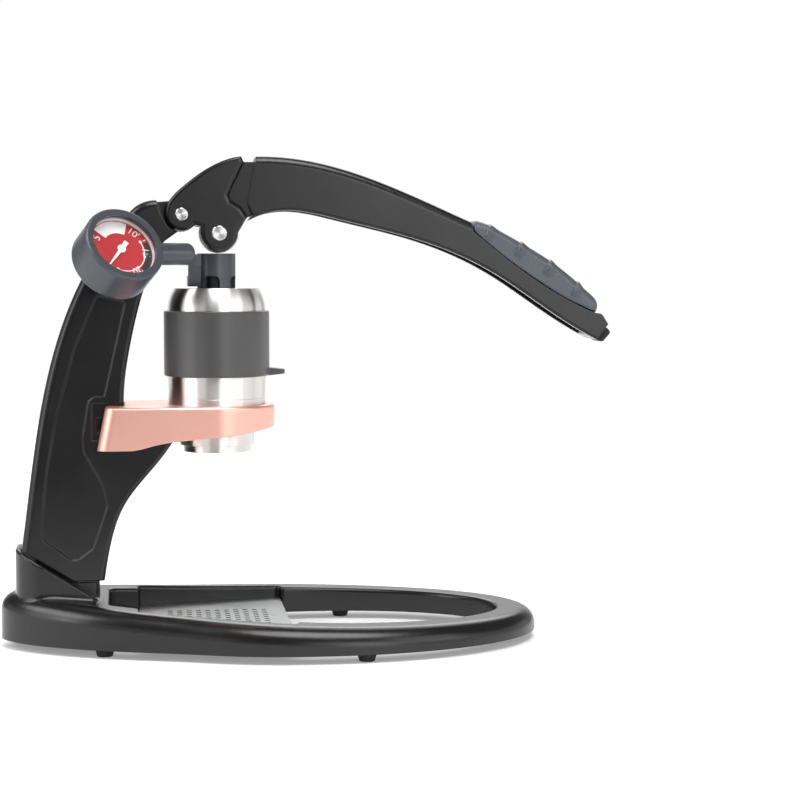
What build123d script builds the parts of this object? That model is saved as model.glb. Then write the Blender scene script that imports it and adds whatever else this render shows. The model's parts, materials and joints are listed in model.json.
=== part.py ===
"""Lever-type manual espresso maker, modelled as separate pieces in millimetres.

+X points forward along the lever, +Z up. The floor is at Z = 0. Sizes along X are
given from the brew axis, the vertical axis of the brew cylinder.
"""
import os
from math import cos, radians, sin, tan

from build123d import *

os.makedirs("parts", exist_ok=True)

# Frame and fits
running_gap = 0.05  # radial clearance of a turning pin
sliding_gap = 0.3  # clearance of pieces that slide or lift out
seat_gap = 0.05  # clearance of pieces that stay together
cut_margin = 1.0  # how far a cut reaches past the face that it opens

# Base ring
ring_rear = 114.5
ring_front = 172.0
ring_widest = 55.0
ring_half_width = 77.0
ring_bar = 21.0
ring_rear_height = 32.0
ring_middle_height = 22.0
ring_front_height = 16.0
ring_edge_round = 9.0
ring_inner_round = 2.0
flank_back = 20.0  # place of the ring's flank behind the brew axis
flank_half = 61.5
nose_back = 73.0  # place where the ring narrows to its nose
nose_half = 42.0
opening_back = 58.0
opening_rear_half = 27.0
opening_corner = 6.0

# Feet
foot_height = 4.5
foot_top_r = 5.25
foot_bottom_r = 4.0
foot_plug_r = 2.2
foot_plug_height = 5.0
front_foot_x = 72.6
front_foot_inset = 10.0  # from the ring's widest place
rear_foot_x = -60.0
rear_foot_inset = 5.0  # from the nose's half width

# Drip tray
tray_front = 37.5
tray_back = 42.5
tray_front_margin = 15.4  # from the ring's widest place
tray_rear_margin = 18.8  # from the ring's flank
tray_corner = 3.0
tray_ledge_z = 10.5
tray_sheet = 1.0
pan_depth = 5.0
pan_margin = 12.5
drain_hole = 2.7
drain_hole_corner = 0.5
drain_columns = 11
drain_rows = 8
drain_pitch_x = 5.1
drain_pitch_y = 5.9

# Post socket on the base
seat_x = -85.3  # middle of the sloped seat
seat_z = 40.4
seat_slope = 32.0
socket_half = 22.0
socket_rear = 106.5
socket_front = 64.0
socket_corner = 3.0
socket_rear_corner = 15.0
socket_edge_round = 1.2
socket_foot_round = 3.0
toe_pad_back = 74.6  # pad under the post's level toe
toe_pad_front = 62.8
toe_pad_half = 13.0
socket_tongue_half = 8.0
socket_tongue_length = 24.0
socket_tongue_depth = 11.0
post_foot_gap = 1.2  # shadow gap round the post's foot
post_screw_r = 2.5
post_screw_head_r = 4.5
post_screw_head_height = 4.0
post_screw_length = 42.0
post_screw_pitch = 10.0
post_screw_recess = 1.5
post_screw_relief = 1.0

# Post
post_half = 16.5
post_foot_z = 35.9
post_foot_front = 60.0
post_foot_rear = 103.0
post_edge_round = 4.0
post_front = 49.4
panel_depth = 1.0
shelf_front = 23.0
tongue_half = 6.8
tongue_r = 7.6
tongue_root = 8.0  # how far the tongue runs back into the post
post_crown = 7.5  # height of the post's top above the pivot
post_level_gap = 2.1  # from the lever's head to the post at the pivot's height
post_shoulder_gap = 4.4  # from the lever's head to the post's top corner
post_throat_back = 10.4  # top of the post's front face, from the pivot
post_throat_drop = 15.7
post_crest_back = 25.6  # end of the post's rear curve, from the pivot
post_crest_rise = 2.5
head_radius_gap = 0.8
post_arc_start = 245.0  # bearings between which the post runs round the lever's head
post_arc_end = 215.0
post_lower_front = [(-57.4, 51.3), (-49.7, 74.7), (-33.5, 95.5)]
post_upper_front = [(-46.0, 157.9), (-37.1, 192.7)]
post_rear = [(-91.5, 130.0), (-71.0, 193.0)]
panel_corner = 2.0
panel_draft = 40.0  # slope of the panel's rim, in degrees
panel_points = [
    (-63.0, 186.0),
    (-75.0, 158.0),
    (-84.5, 123.0),
    (-90.0, 93.0),
    (-93.1, 63.0),
    (-92.0, 57.5),
    (-77.0, 46.5),
    (-73.5, 46.5),
    (-65.5, 52.5),
    (-57.8, 75.0),
    (-60.5, 87.0),
    (-70.0, 104.0),
    (-70.5, 111.0),
    (-67.3, 130.0),
    (-64.5, 132.2),
    (-59.0, 132.2),
    (-47.6, 182.3),
]

# Lever pivot and roller
pivot_x = -18.5
pivot_z = 227.7
roller_reach = 19.7
roller_drop = 9.8
roller_r = 10.3
roller_gap = 0.3  # between the roller and the stem at rest
roller_half = 6.4
pivot_pin_r = 3.4
roller_pin_r = 3.9
pin_proud = 0.4
bush_wall = 1.6

# Lever
lever_half = 14.5
web_back = 10.5  # web between the cheeks, from the pivot
web_front = 40.0
web_bottom = 1.8
channel_back = 45.0
cheek_inner = 7.0
pivot_lobe_r = 8.8
roller_lobe_r = 9.7
lever_edge_round = 4.5
arm_rim_round = 1.2
head_edge_round = 2.0
neck_half = 12.4
stud_r = 3.0
stud_z = 15.0  # above the pivot
stud_back = 15.0
stud_front = 58.0
stud_nut_r = 5.0
stud_nut_length = 5.0
channel_half = 10.0
channel_roof = 4.5
grip_overhang = 0.3
grip_edge_round = 4.0
rib_r = 2.4
rib_half = 9.5
plug_half = 9.0
notch_rise = 3.4
neck_drop = 2.0
stud_proud = 1.0
lobe_start = -40.0

# Lever outlines, given from the pivot axis
head_crown = (31.2, 30.5)
head_top = [(2.0, 15.7), (16.9, 25.9)]
head_right_edge = [(32.6, 27.5), (26.0, 14.0), (24.3, 10.0), (25.5, 7.2), (30.7, 4.0), (34.3, -1.5)]
arm_left_edge = [(35.4, -3.0), (37.2, -0.5), (34.7, 5.7), (38.4, 26.8), (39.4, 30.6)]
arm_top = [arm_left_edge[-1], (78.9, 25.9), (125.9, 8.9), (153.6, -3.4)]
grip_seat = [(154.7, -8.6), (176.3, -25.7), (202.3, -42.9), (221.5, -52.2)]
arm_end = [(224.8, -52.6), (228.4, -58.3)]
arm_nose_round = 3.0
arm_tip = (222.2, -66.6)
arm_underside = [
    arm_tip,
    (193.0, -48.8),
    (165.0, -30.3),
    (128.0, -14.1),
    (82.9, -2.5),
    (52.0, 2.0),
    arm_left_edge[0],
]
grip_top = [(156.1, -1.5), (168.5, -6.0), (200.6, -24.8), (224.0, -42.8)]
grip_ribs = [(166.9, -6.7), (184.0, -17.3), (199.9, -26.8), (214.9, -38.3)]
grip_nose = (225.6, -47.2)
grip_toe = (224.4, -51.4)
plug_root = [(222.9, -65.73), (227.5, -59.57)]
plug_top = (229.8, -60.9)
plug_tip = (231.3, -63.0)
plug_bottom = [(226.8, -68.1), (224.4, -67.4)]

# Portafilter and its holder
holder_bottom = 110.0
holder_top = 127.7
holder_wall = 4.4
holder_floor = 4.0
holder_edge_round = 2.0
prong_back = 63.3
prong_end_lean = 4.5  # how far the prongs' ends lean forward at the top
prong_end_half = 28.5
prong_corner = 6.0
holder_underside = [(-48.0, 105.0), (-34.0, 107.6), (-10.0, 110.8), (12.0, 113.0), (31.0, 116.0)]
pocket_depth = 1.5
pocket_back = 66.0
rib_depth = 3.0
rib_bottom = 114.0
rib_top = 121.0
cup_bottom = 102.4
cup_spout_r = 20.0
cup_lip_r = 18.2
cup_step_z = 106.0
cup_spout_bore_r = 15.0
cup_top = 131.0
basket_wall = 0.8
basket_height = 13.5
basket_hole_r = 0.6
basket_rings = 3
basket_ring_pitch = 5.0
basket_seat_rise = 2.5
screen_hole_r = 0.9
screen_thickness = 1.0

# Brew cylinder
cylinder_r = 26.0
cylinder_wall = 6.0
cylinder_height = 58.0
cylinder_roof = 6.0
shoulder_height = 12.0
shoulder_in = 3.6
seal_groove = 1.6
sleeve_bottom = 142.5
sleeve_top = 177.0
sleeve_wall = 2.0
sleeve_tab_length = 9.0
sleeve_tab_half = 5.0
sleeve_tab_root = 4.2
sleeve_tab_tip = 2.2
sleeve_edge_round = 0.8

# Stem and piston
stem_r = 10.15
stem_bore_r = 7.0
stem_core_r = 4.6
stem_roof = 6.0
stem_floor = 8.0
piston_bottom = 137.0
piston_height = 13.0
piston_gap = 0.35
oring_r = 1.5
oring_pitch = 6.0
window_bearings = (-109.4, -19.4, 70.6)
window_width = 9.1
window_height = 6.3
window_round = 2.6
piston_screw_r = 2.0
piston_screw_head_r = 3.6
piston_screw_head_height = 2.5

# Pressure gauge and the arm that carries it
gauge_yaw = 28.5  # bearing of the gauge arm, from +X towards +Y
gauge_tilt = 32.0  # how far the dial leans back
gauge_reach = 43.3  # from the end of the arm to the gauge's middle
arm_end_x = -13.5
arm_end_y = -22.3
arm_end_round = 3.2
arm_drop = 0.5  # arm axis below the stem's top
arm_r = 5.7
arm_bore_r = 2.6
stem_web_x = -12.2  # beside the stem's axis
stem_web_half = 3.3
stem_web_back = 5.0
stem_web_rise = 5.5
stem_web_lift = 1.0
stem_web_shoulder = 3.0
stem_web_foot = 4.5
stem_web_lean = 1.0
case_r = 21.3
case_depth = 19.7
case_wall = 3.0
case_lip = 2.3
case_edge_round = 1.2
bezel_width = 4.1
lens_thickness = 1.5
dial_recess = 5.8
dial_thickness = 1.0
back_thickness = 1.5
movement_gap = 3.0  # between the movement and the pressure tube
movement_depth = 5.0
spindle_r = 0.9
needle_clearance = 3.75  # between the needle's tip and the window's edge
needle_tail = 5.5
needle_tip_half = 0.3
needle_root_half = 1.0
needle_tail_half = 1.3
needle_thickness = 0.6
needle_rest = 225.0  # bearing of the needle at rest, counted from three o'clock
hub_r = 2.2
tube_clearance = 5.1  # between the pressure tube and the case
tube_r = 1.6
tube_sweep = 260.0
fitting_r = 2.5

# Worked-out places
brew_x = (ring_rear - pivot_x - plug_tip[0]) / 2  # centres the whole length on X = 0
stem_top = pivot_z - roller_drop - roller_r - roller_gap
front_foot_half = ring_half_width - front_foot_inset
rear_foot_half = nose_half - rear_foot_inset
tray_front_half = ring_half_width - tray_front_margin
tray_rear_half = flank_half - tray_rear_margin
cylinder_top = cup_top + cylinder_height
bore_r = cylinder_r - cylinder_wall
holder_r = cylinder_r + holder_wall
flange_bottom = holder_bottom + holder_floor
basket_r = bore_r + basket_wall
basket_seat = flange_bottom + basket_seat_rise
post_clear_r = pivot_lobe_r + head_radius_gap
arm_z = stem_top - arm_drop
prong_inner = post_half - pocket_depth + sliding_gap
stem_bottom = piston_bottom + piston_height
case_bore_r = case_r - case_wall
window_r = case_r - bezel_width
tube_path_r = case_bore_r - tube_r - tube_clearance
movement_half = tube_path_r - tube_r - movement_gap
needle_length = window_r - needle_clearance


def plan(height):
    """Level plane whose origin is on the brew axis at the given height."""
    return Plane((brew_x, 0, height))


def side(offset=0.0):
    """Upright plane along the lever; sketch x is forward and sketch y is up."""
    return Plane((brew_x, offset, 0), x_dir=(1, 0, 0), z_dir=(0, -1, 0))


def lever_side(offset=0.0):
    """Upright plane whose origin is the lever's pivot axis."""
    return Plane((brew_x + pivot_x, offset, pivot_z), x_dir=(1, 0, 0), z_dir=(0, -1, 0))


def stud_plane(distance):
    """Upright plane across the lever's stud, at a distance in front of the pivot."""
    return Plane((brew_x + pivot_x + distance, 0, pivot_z + stud_z), x_dir=(0, 1, 0), z_dir=(1, 0, 0))


def cross_hole(x, z, radius):
    """Round hole right through the part along Y, at a place given from the pivot."""
    with BuildSketch(lever_side()) as hole:
        with Locations((x, z)):
            Circle(radius)
    extrude(hole.sketch, amount=2 * post_half, both=True, mode=Mode.SUBTRACT)


def finish(builder, name):
    """Label a finished piece and write its file."""
    builder.part.label = name
    export_step(builder.part, f"parts/{name}.step")


# Sloped seat between the base and the post
seat_normal = (sin(radians(seat_slope)), 0, cos(radians(seat_slope)))
seat_along = (cos(radians(seat_slope)), 0, -sin(radians(seat_slope)))
seat_plane = Plane((brew_x + seat_x, 0, seat_z), x_dir=seat_along, z_dir=seat_normal)
post_screw_places = [(seat_x - post_screw_pitch / 2, 0), (seat_x + post_screw_pitch / 2, 0)]
post_screw_z = foot_height + post_screw_recess


def seat_height(x):
    """Height of the sloped seat above the floor at a place along the base."""
    return seat_z - (x - seat_x) * tan(radians(seat_slope))


def tray_outline(inset):
    """Four-cornered tray outline, wider at the front, drawn in by a margin."""
    Polyline(
        (-tray_back + inset, tray_rear_half - inset),
        (tray_front - inset, tray_front_half - inset),
        (tray_front - inset, -tray_front_half + inset),
        (-tray_back + inset, -tray_rear_half + inset),
        close=True,
    )


foot_places = [
    (front_foot_x, front_foot_half),
    (front_foot_x, -front_foot_half),
    (rear_foot_x, rear_foot_half),
    (rear_foot_x, -rear_foot_half),
]

# Base ring: an egg-shaped cast bar that rises towards the rear and carries the post socket
with BuildPart() as base_ring:
    with BuildSketch(plan(foot_height)):
        with BuildLine():
            EllipticalCenterArc(
                (ring_widest, 0), ring_front - ring_widest, ring_half_width, start_angle=-90, arc_size=180
            )
            Spline(
                (ring_widest, ring_half_width),
                (-flank_back, flank_half),
                (-nose_back, nose_half),
                (-ring_rear, 0),
                (-nose_back, -nose_half),
                (-flank_back, -flank_half),
                (ring_widest, -ring_half_width),
                tangents=((-1, 0), (1, 0)),
            )
        make_face()
    extrude(amount=ring_rear_height)
    with BuildSketch(side()):
        with BuildLine():
            Spline(
                (-ring_rear - ring_bar, ring_rear_height),
                (-flank_back, ring_middle_height),
                (ring_front + ring_bar, ring_front_height),
                tangents=((1, -0.1), (1, 0)),
            )
            Polyline(
                (ring_front + ring_bar, ring_front_height),
                (ring_front + ring_bar, 0),
                (-ring_rear - ring_bar, 0),
                (-ring_rear - ring_bar, ring_rear_height),
            )
        make_face()
    extrude(amount=2 * ring_half_width, both=True, mode=Mode.INTERSECT)
    top_face = base_ring.faces().sort_by(Axis.Z)[-1]
    fillet(top_face.outer_wire().edges(), ring_edge_round)
    with BuildSketch(plan(foot_height)) as opening_sketch:
        with BuildLine():
            EllipticalCenterArc(
                (ring_widest, 0),
                ring_front - ring_widest - ring_bar,
                ring_half_width - ring_bar,
                start_angle=-90,
                arc_size=180,
            )
            Spline(
                (ring_widest, ring_half_width - ring_bar),
                (-flank_back, flank_half - ring_bar),
                (-opening_back, opening_rear_half),
                tangents=((-1, 0), (-1, -0.35)),
            )
            Line((-opening_back, opening_rear_half), (-opening_back, -opening_rear_half))
            Spline(
                (-opening_back, -opening_rear_half),
                (-flank_back, -flank_half + ring_bar),
                (ring_widest, -ring_half_width + ring_bar),
                tangents=((1, -0.35), (1, 0)),
            )
        make_face()
        fillet(opening_sketch.vertices().group_by(Axis.X)[0], opening_corner)
    extrude(amount=2 * ring_rear_height, mode=Mode.SUBTRACT)
    with BuildSketch(plan(tray_ledge_z)) as tray_seat:
        with BuildLine():
            tray_outline(0)
        make_face()
        fillet(tray_seat.vertices(), tray_corner)
    extrude(amount=ring_rear_height, mode=Mode.SUBTRACT)
    pocket_ends = base_ring.edges().filter_by(
        lambda edge: edge.bounding_box().size.X + edge.bounding_box().size.Y < seat_gap
        and abs(edge.center().X - brew_x - tray_front) < seat_gap
    )
    fillet(pocket_ends.sort_by(lambda edge: abs(edge.center().Y))[:2], ring_inner_round)
    walls = base_ring.faces().filter_by(lambda face: abs(face.normal_at().Z) < 0.1)
    crowns = base_ring.faces().filter_by(
        lambda face: face.normal_at().Z > 0.9 and face.center().Z > tray_ledge_z + cut_margin
    )
    fillet(walls.edges() & crowns.edges(), ring_inner_round)
    with BuildSketch(plan(2 * foot_height)) as socket_plan:
        with Locations((-(socket_rear + socket_front) / 2, 0)):
            Rectangle(socket_rear - socket_front, 2 * socket_half)
        fillet(socket_plan.vertices().group_by(Axis.X)[0], socket_rear_corner)
        fillet(socket_plan.vertices().group_by(Axis.X)[-1], socket_corner)
    extrude(amount=seat_height(-socket_rear))
    socket_walls = base_ring.faces().filter_by(
        lambda face: face.bounding_box().max.Z > ring_rear_height + cut_margin
    )
    socket_foot = socket_walls.edges().filter_by(lambda edge: edge.center().Z < ring_rear_height)
    fillet(socket_foot, socket_foot_round)
    with BuildSketch(side()):
        with BuildLine():
            Polyline(
                (-socket_rear - cut_margin, seat_height(-socket_rear - cut_margin)),
                (-socket_front + cut_margin, seat_height(-socket_front + cut_margin)),
                (-socket_front + cut_margin, 2 * seat_z),
                (-socket_rear - cut_margin, 2 * seat_z),
                close=True,
            )
        make_face()
    extrude(amount=socket_half + cut_margin, both=True, mode=Mode.SUBTRACT)
    seat_face = base_ring.faces().filter_by(lambda face: face.normal_at().dot(Vector(seat_normal)) > 0.999)
    fillet(seat_face.edges(), socket_edge_round)
    with BuildSketch(plan(ring_middle_height)) as toe_pad:
        with Locations((-(toe_pad_back + toe_pad_front) / 2, 0)):
            Rectangle(toe_pad_back - toe_pad_front, 2 * toe_pad_half)
        fillet(toe_pad.vertices().group_by(Axis.X)[-1], socket_corner)
    extrude(amount=post_foot_z - post_foot_gap - ring_middle_height)
    with BuildSketch(seat_plane):
        Rectangle(socket_tongue_length + 2 * seat_gap, 2 * (socket_tongue_half + seat_gap))
    extrude(amount=-socket_tongue_depth, mode=Mode.SUBTRACT)
    with BuildSketch(plan(0)):
        with Locations(*post_screw_places):
            Circle(post_screw_head_r + sliding_gap)
    extrude(amount=post_screw_z + post_screw_head_height, mode=Mode.SUBTRACT)
    with BuildSketch(plan(0)):
        with Locations(*post_screw_places):
            Circle(post_screw_r + sliding_gap)
    extrude(amount=2 * seat_z, mode=Mode.SUBTRACT)
    with BuildSketch(plan(foot_height)):
        with Locations(*foot_places):
            Circle(foot_plug_r + seat_gap)
    extrude(amount=foot_plug_height + seat_gap, mode=Mode.SUBTRACT)
finish(base_ring, "base_ring")

# Rubber feet with a plug pressed up into the ring
with BuildPart() as rubber_feet:
    for x, y in foot_places:
        with BuildSketch(Plane((brew_x + x, y, 0), x_dir=(1, 0, 0), z_dir=(0, -1, 0))) as foot_half:
            with BuildLine():
                Polyline(
                    (0, 0),
                    (foot_bottom_r, 0),
                    (foot_top_r, foot_height),
                    (foot_plug_r, foot_height),
                    (foot_plug_r, foot_height + foot_plug_height),
                    (0, foot_height + foot_plug_height),
                    close=True,
                )
            make_face()
        revolve(axis=Axis((brew_x + x, y, 0), (0, 0, 1)))
finish(rubber_feet, "rubber_feet")

# Drip pan, hung by its rim on the ring's ledge
with BuildPart() as drip_pan:
    with BuildSketch(plan(tray_ledge_z)) as pan_rim:
        with BuildLine():
            tray_outline(sliding_gap)
        make_face()
        fillet(pan_rim.vertices(), tray_corner)
    extrude(amount=tray_sheet)
    with BuildSketch(plan(tray_ledge_z)) as pan_wall:
        with BuildLine():
            tray_outline(pan_margin)
        make_face()
        fillet(pan_wall.vertices(), tray_corner)
    extrude(amount=-pan_depth)
    with BuildSketch(plan(tray_ledge_z + tray_sheet)) as pan_hollow:
        with BuildLine():
            tray_outline(pan_margin + tray_sheet)
        make_face()
        fillet(pan_hollow.vertices(), tray_corner - tray_sheet)
    extrude(amount=-pan_depth, mode=Mode.SUBTRACT)
finish(drip_pan, "drip_pan")

# Perforated grille that lies on the pan's rim
with BuildPart() as drip_grille:
    with BuildSketch(plan(tray_ledge_z + tray_sheet)) as grille_plate:
        with BuildLine():
            tray_outline(sliding_gap)
        make_face()
        fillet(grille_plate.vertices(), tray_corner)
        with GridLocations(drain_pitch_x, drain_pitch_y, drain_columns, drain_rows):
            RectangleRounded(drain_hole, drain_hole, drain_hole_corner, mode=Mode.SUBTRACT)
    extrude(amount=tray_sheet)
finish(drip_grille, "drip_grille")

# Post: a curved column with a shelf, side pockets for the holder and a pivot tongue
post_foot_rise = post_foot_gap / cos(radians(seat_slope))
post_foot_slope_end = seat_x + (seat_z + post_foot_rise - post_foot_z) / tan(radians(seat_slope))
shelf_top = holder_bottom - sliding_gap
post_front_end = (pivot_x - post_throat_back, pivot_z - post_throat_drop)
post_notch_start = (
    pivot_x + post_clear_r * cos(radians(post_arc_start)),
    pivot_z + post_clear_r * sin(radians(post_arc_start)),
)
post_notch_end = (
    pivot_x + post_clear_r * cos(radians(post_arc_end)),
    pivot_z + post_clear_r * sin(radians(post_arc_end)),
)
post_level = (pivot_x - pivot_lobe_r - post_level_gap, pivot_z)
post_shoulder = (pivot_x - pivot_lobe_r - post_shoulder_gap, pivot_z + post_crown)

with BuildPart() as post:
    with BuildSketch(side()):
        with BuildLine():
            Polyline(
                (-post_foot_rear, seat_height(-post_foot_rear) + post_foot_rise),
                (post_foot_slope_end, post_foot_z),
                (-post_foot_front, post_foot_z),
            )
            Spline(
                (-post_foot_front, post_foot_z),
                *post_lower_front,
                (-shelf_front, shelf_top),
            )
            Polyline((-shelf_front, shelf_top), (-post_front, shelf_top), (-post_front, holder_top))
            Spline(
                (-post_front, holder_top),
                *post_upper_front,
                post_front_end,
                tangents=((0, 1), (0.55, 1)),
            )
            Line(post_front_end, post_notch_start)
            CenterArc((pivot_x, pivot_z), post_clear_r, post_arc_start, post_arc_end - post_arc_start)
            Polyline(post_notch_end, post_level, post_shoulder)
            rear_line = Spline(
                (-post_foot_rear, seat_height(-post_foot_rear) + post_foot_rise),
                *post_rear,
                (pivot_x - post_crest_back, pivot_z + post_crest_rise),
            )
            TangentArc(rear_line @ 1, post_shoulder, tangent=rear_line % 1)
        make_face()
    extrude(amount=post_half, both=True)
    for side_rims in (post.edges().group_by(Axis.Y)[0], post.edges().group_by(Axis.Y)[-1]):
        fillet(side_rims.sort_by(SortBy.LENGTH)[-1], post_edge_round)
    for side_rims in (post.edges().group_by(Axis.Y)[0], post.edges().group_by(Axis.Y)[-1]):
        fillet(side_rims.sort_by(SortBy.LENGTH)[-3:-1], post_edge_round / 2)
    with BuildSketch(lever_side()):
        Circle(tongue_r)
        with BuildLine():
            Polyline(
                (0, tongue_r),
                (-post_clear_r - tongue_root / 2, post_crown - panel_depth),
                (-post_clear_r - tongue_root, -tongue_r),
                (-post_clear_r - cut_margin, -2 * tongue_r),
                (0, -tongue_r),
                close=True,
            )
        make_face()
    extrude(amount=tongue_half, both=True)
    cross_hole(0, 0, pivot_pin_r + bush_wall + seat_gap)
    with BuildSketch(seat_plane.offset(-socket_tongue_depth)):
        Rectangle(socket_tongue_length, 2 * socket_tongue_half)
    extrude(amount=socket_tongue_depth + post_foot_gap + post_edge_round)
    with BuildSketch(plan(0)):
        with Locations(*post_screw_places):
            Circle(post_screw_r + seat_gap)
    extrude(amount=post_screw_z + post_screw_head_height + post_screw_length, mode=Mode.SUBTRACT)
    for hand in (-1, 1):
        with BuildSketch(side(hand * post_half)):
            with BuildLine():
                Polyline(
                    (-pocket_back, shelf_top),
                    (-post_front / 2, shelf_top),
                    (-post_front / 2, holder_top + pocket_depth),
                    (-pocket_back, holder_top + pocket_depth),
                    close=True,
                )
            make_face()
        extrude(amount=hand * pocket_depth, mode=Mode.SUBTRACT)
        with BuildSketch(side(hand * (post_half - pocket_depth))):
            with BuildLine():
                Polyline(
                    (-prong_back - sliding_gap, rib_bottom - sliding_gap),
                    (-post_front / 2, rib_bottom - sliding_gap),
                    (-post_front / 2, rib_top + sliding_gap),
                    (-prong_back - sliding_gap, rib_top + sliding_gap),
                    close=True,
                )
            make_face()
        extrude(amount=hand * rib_depth, mode=Mode.SUBTRACT)
        with BuildSketch(side(hand * post_half)) as panel:
            with BuildLine():
                Polyline(*panel_points, close=True)
            make_face()
            fillet(panel.vertices(), panel_corner)
        extrude(amount=hand * panel_depth, taper=panel_draft, mode=Mode.SUBTRACT)
finish(post, "post")

# Screws that hold the post's foot down from under the base
with BuildPart() as post_screws:
    with BuildSketch(plan(post_screw_z)):
        with Locations(*post_screw_places):
            Circle(post_screw_head_r)
            RegularPolygon(post_screw_r, 6, mode=Mode.SUBTRACT)
    extrude(amount=post_screw_head_height / 2)
    with BuildSketch(plan(post_screw_z + post_screw_head_height / 2)):
        with Locations(*post_screw_places):
            Circle(post_screw_head_r)
    extrude(amount=post_screw_head_height / 2)
    with BuildSketch(plan(post_screw_z + post_screw_head_height)):
        with Locations(*post_screw_places):
            Circle(post_screw_r)
    extrude(amount=post_screw_length - post_screw_relief)
finish(post_screws, "post_screws")

# Bush in the post's tongue, in which the lever's pivot pin turns
with BuildPart() as pivot_bush:
    with BuildSketch(lever_side()):
        Circle(pivot_pin_r + bush_wall)
        Circle(pivot_pin_r + running_gap, mode=Mode.SUBTRACT)
    extrude(amount=tongue_half, both=True)
finish(pivot_bush, "pivot_bush")

notch_x = roller_reach - roller_lobe_r

# Lever head: two cheeks round the post's tongue and the roller, joined by a web
with BuildPart() as lever_head:
    with BuildSketch(lever_side()):
        with BuildLine():
            Spline(
                (-pivot_lobe_r, 0),
                *head_top,
                head_crown,
                tangents=((0, 1), (1, 0.1)),
                tangent_scalars=(1, 1),
            )
            Line(head_crown, head_right_edge[0])
            Polyline(*head_right_edge)
            Line(head_right_edge[-1], (roller_reach + roller_lobe_r, -roller_drop))
            CenterArc((roller_reach, -roller_drop), roller_lobe_r, 0, -180)
            Polyline(
                (notch_x, -roller_drop),
                (notch_x, -roller_drop + notch_rise),
                (pivot_lobe_r * cos(radians(lobe_start)), pivot_lobe_r * sin(radians(lobe_start))),
            )
            CenterArc((0, 0), pivot_lobe_r, lobe_start, -180 - lobe_start)
        make_face()
    extrude(amount=lever_half, both=True)
    outer_rims = lever_head.edges().group_by(Axis.Y)[0] + lever_head.edges().group_by(Axis.Y)[-1]
    fillet(outer_rims, head_edge_round)
    with BuildSketch(lever_side()):
        with BuildLine():
            Polyline(
                (-2 * pivot_lobe_r, -roller_drop - 2 * roller_lobe_r),
                (web_front, -roller_drop - 2 * roller_lobe_r),
                (web_front, web_bottom),
                (web_back, web_bottom),
                (web_back, 2 * head_crown[1]),
                (-2 * pivot_lobe_r, 2 * head_crown[1]),
                close=True,
            )
        make_face()
    extrude(amount=cheek_inner, both=True, mode=Mode.SUBTRACT)
    cross_hole(0, 0, pivot_pin_r + seat_gap)
    cross_hole(roller_reach, -roller_drop, roller_pin_r + seat_gap)
    with BuildSketch(stud_plane(stud_back)):
        Circle(stud_r + seat_gap)
    extrude(amount=stud_front - stud_back, mode=Mode.SUBTRACT)
finish(lever_head, "lever_head")

# Lever arm: an arched channel with a slimmer neck that butts against the head
with BuildPart() as lever_arm:
    with BuildSketch(lever_side()):
        with BuildLine():
            Spline(*arm_top)
            Line(arm_top[-1], grip_seat[0])
            Spline(*grip_seat)
            Polyline(grip_seat[-1], *arm_end, arm_tip)
            Spline(*arm_underside)
            Polyline(*arm_left_edge)
        make_face()
        fillet(vertices().sort_by_distance(arm_end[0])[0], arm_nose_round)
    extrude(amount=lever_half, both=True)
    for rims in (lever_arm.edges().group_by(Axis.Y)[0], lever_arm.edges().group_by(Axis.Y)[-1]):
        crown_rim = rims.sort_by(SortBy.LENGTH)[-2]
        fillet(crown_rim, lever_edge_round)
    for rims in (lever_arm.edges().group_by(Axis.Y)[0], lever_arm.edges().group_by(Axis.Y)[-1]):
        fillet(rims.sort_by(SortBy.LENGTH)[-1], arm_rim_round)
    with BuildSketch(lever_side()):
        with BuildLine():
            Polyline(
                (channel_back, arm_top[0][1] - channel_roof),
                (arm_top[1][0], arm_top[1][1] - channel_roof),
                (arm_top[2][0] - channel_roof, arm_top[2][1] - channel_roof),
                *[(x - channel_roof / 2, z - channel_roof) for x, z in grip_seat[:-1]],
                (grip_seat[-1][0] - channel_roof, grip_seat[-1][1] - channel_roof),
                (grip_seat[-1][0] - channel_roof, arm_tip[1]),
                (channel_back, arm_tip[1]),
                close=True,
            )
        make_face()
    extrude(amount=channel_half, both=True, mode=Mode.SUBTRACT)
    with BuildSketch(lever_side()):
        with BuildLine():
            Polyline(
                *head_right_edge,
                arm_left_edge[1],
                (channel_back, head_right_edge[-2][1] - neck_drop),
                (channel_back, head_right_edge[0][1]),
                close=True,
            )
        make_face()
    extrude(amount=neck_half, both=True)
    with BuildSketch(stud_plane(stud_back)):
        Circle(stud_r + seat_gap)
    extrude(amount=stud_front - stud_back, mode=Mode.SUBTRACT)
finish(lever_arm, "lever_arm")

# Stud and nut that pull the arm against the head
with BuildPart() as lever_stud:
    with BuildSketch(stud_plane(stud_back)):
        Circle(stud_r)
    extrude(amount=channel_back + stud_nut_length + stud_proud - stud_back)
    with BuildSketch(stud_plane(channel_back)):
        RegularPolygon(stud_nut_r, 6)
    extrude(amount=stud_nut_length)
finish(lever_stud, "lever_stud")

# Ribbed rubber grip, seated along the top of the arm
with BuildPart() as grip:
    with BuildSketch(lever_side()):
        with BuildLine():
            Spline(*grip_top)
            ThreePointArc(grip_top[-1], grip_nose, grip_toe)
            Line(grip_toe, grip_seat[-1])
            Spline(*reversed(grip_seat))
            Polyline(grip_seat[0], arm_top[-1], grip_top[0])
        make_face()
    extrude(amount=lever_half + grip_overhang, both=True)
    for rims in (grip.edges().group_by(Axis.Y)[0], grip.edges().group_by(Axis.Y)[-1]):
        fillet(rims.sort_by(SortBy.LENGTH)[-2:].sort_by(Axis.Z)[-1], grip_edge_round)
    for x, z in grip_ribs:
        with BuildSketch(lever_side()):
            with Locations((x, z)):
                Circle(rib_r)
        extrude(amount=rib_half, both=True)
finish(grip, "grip")

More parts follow.
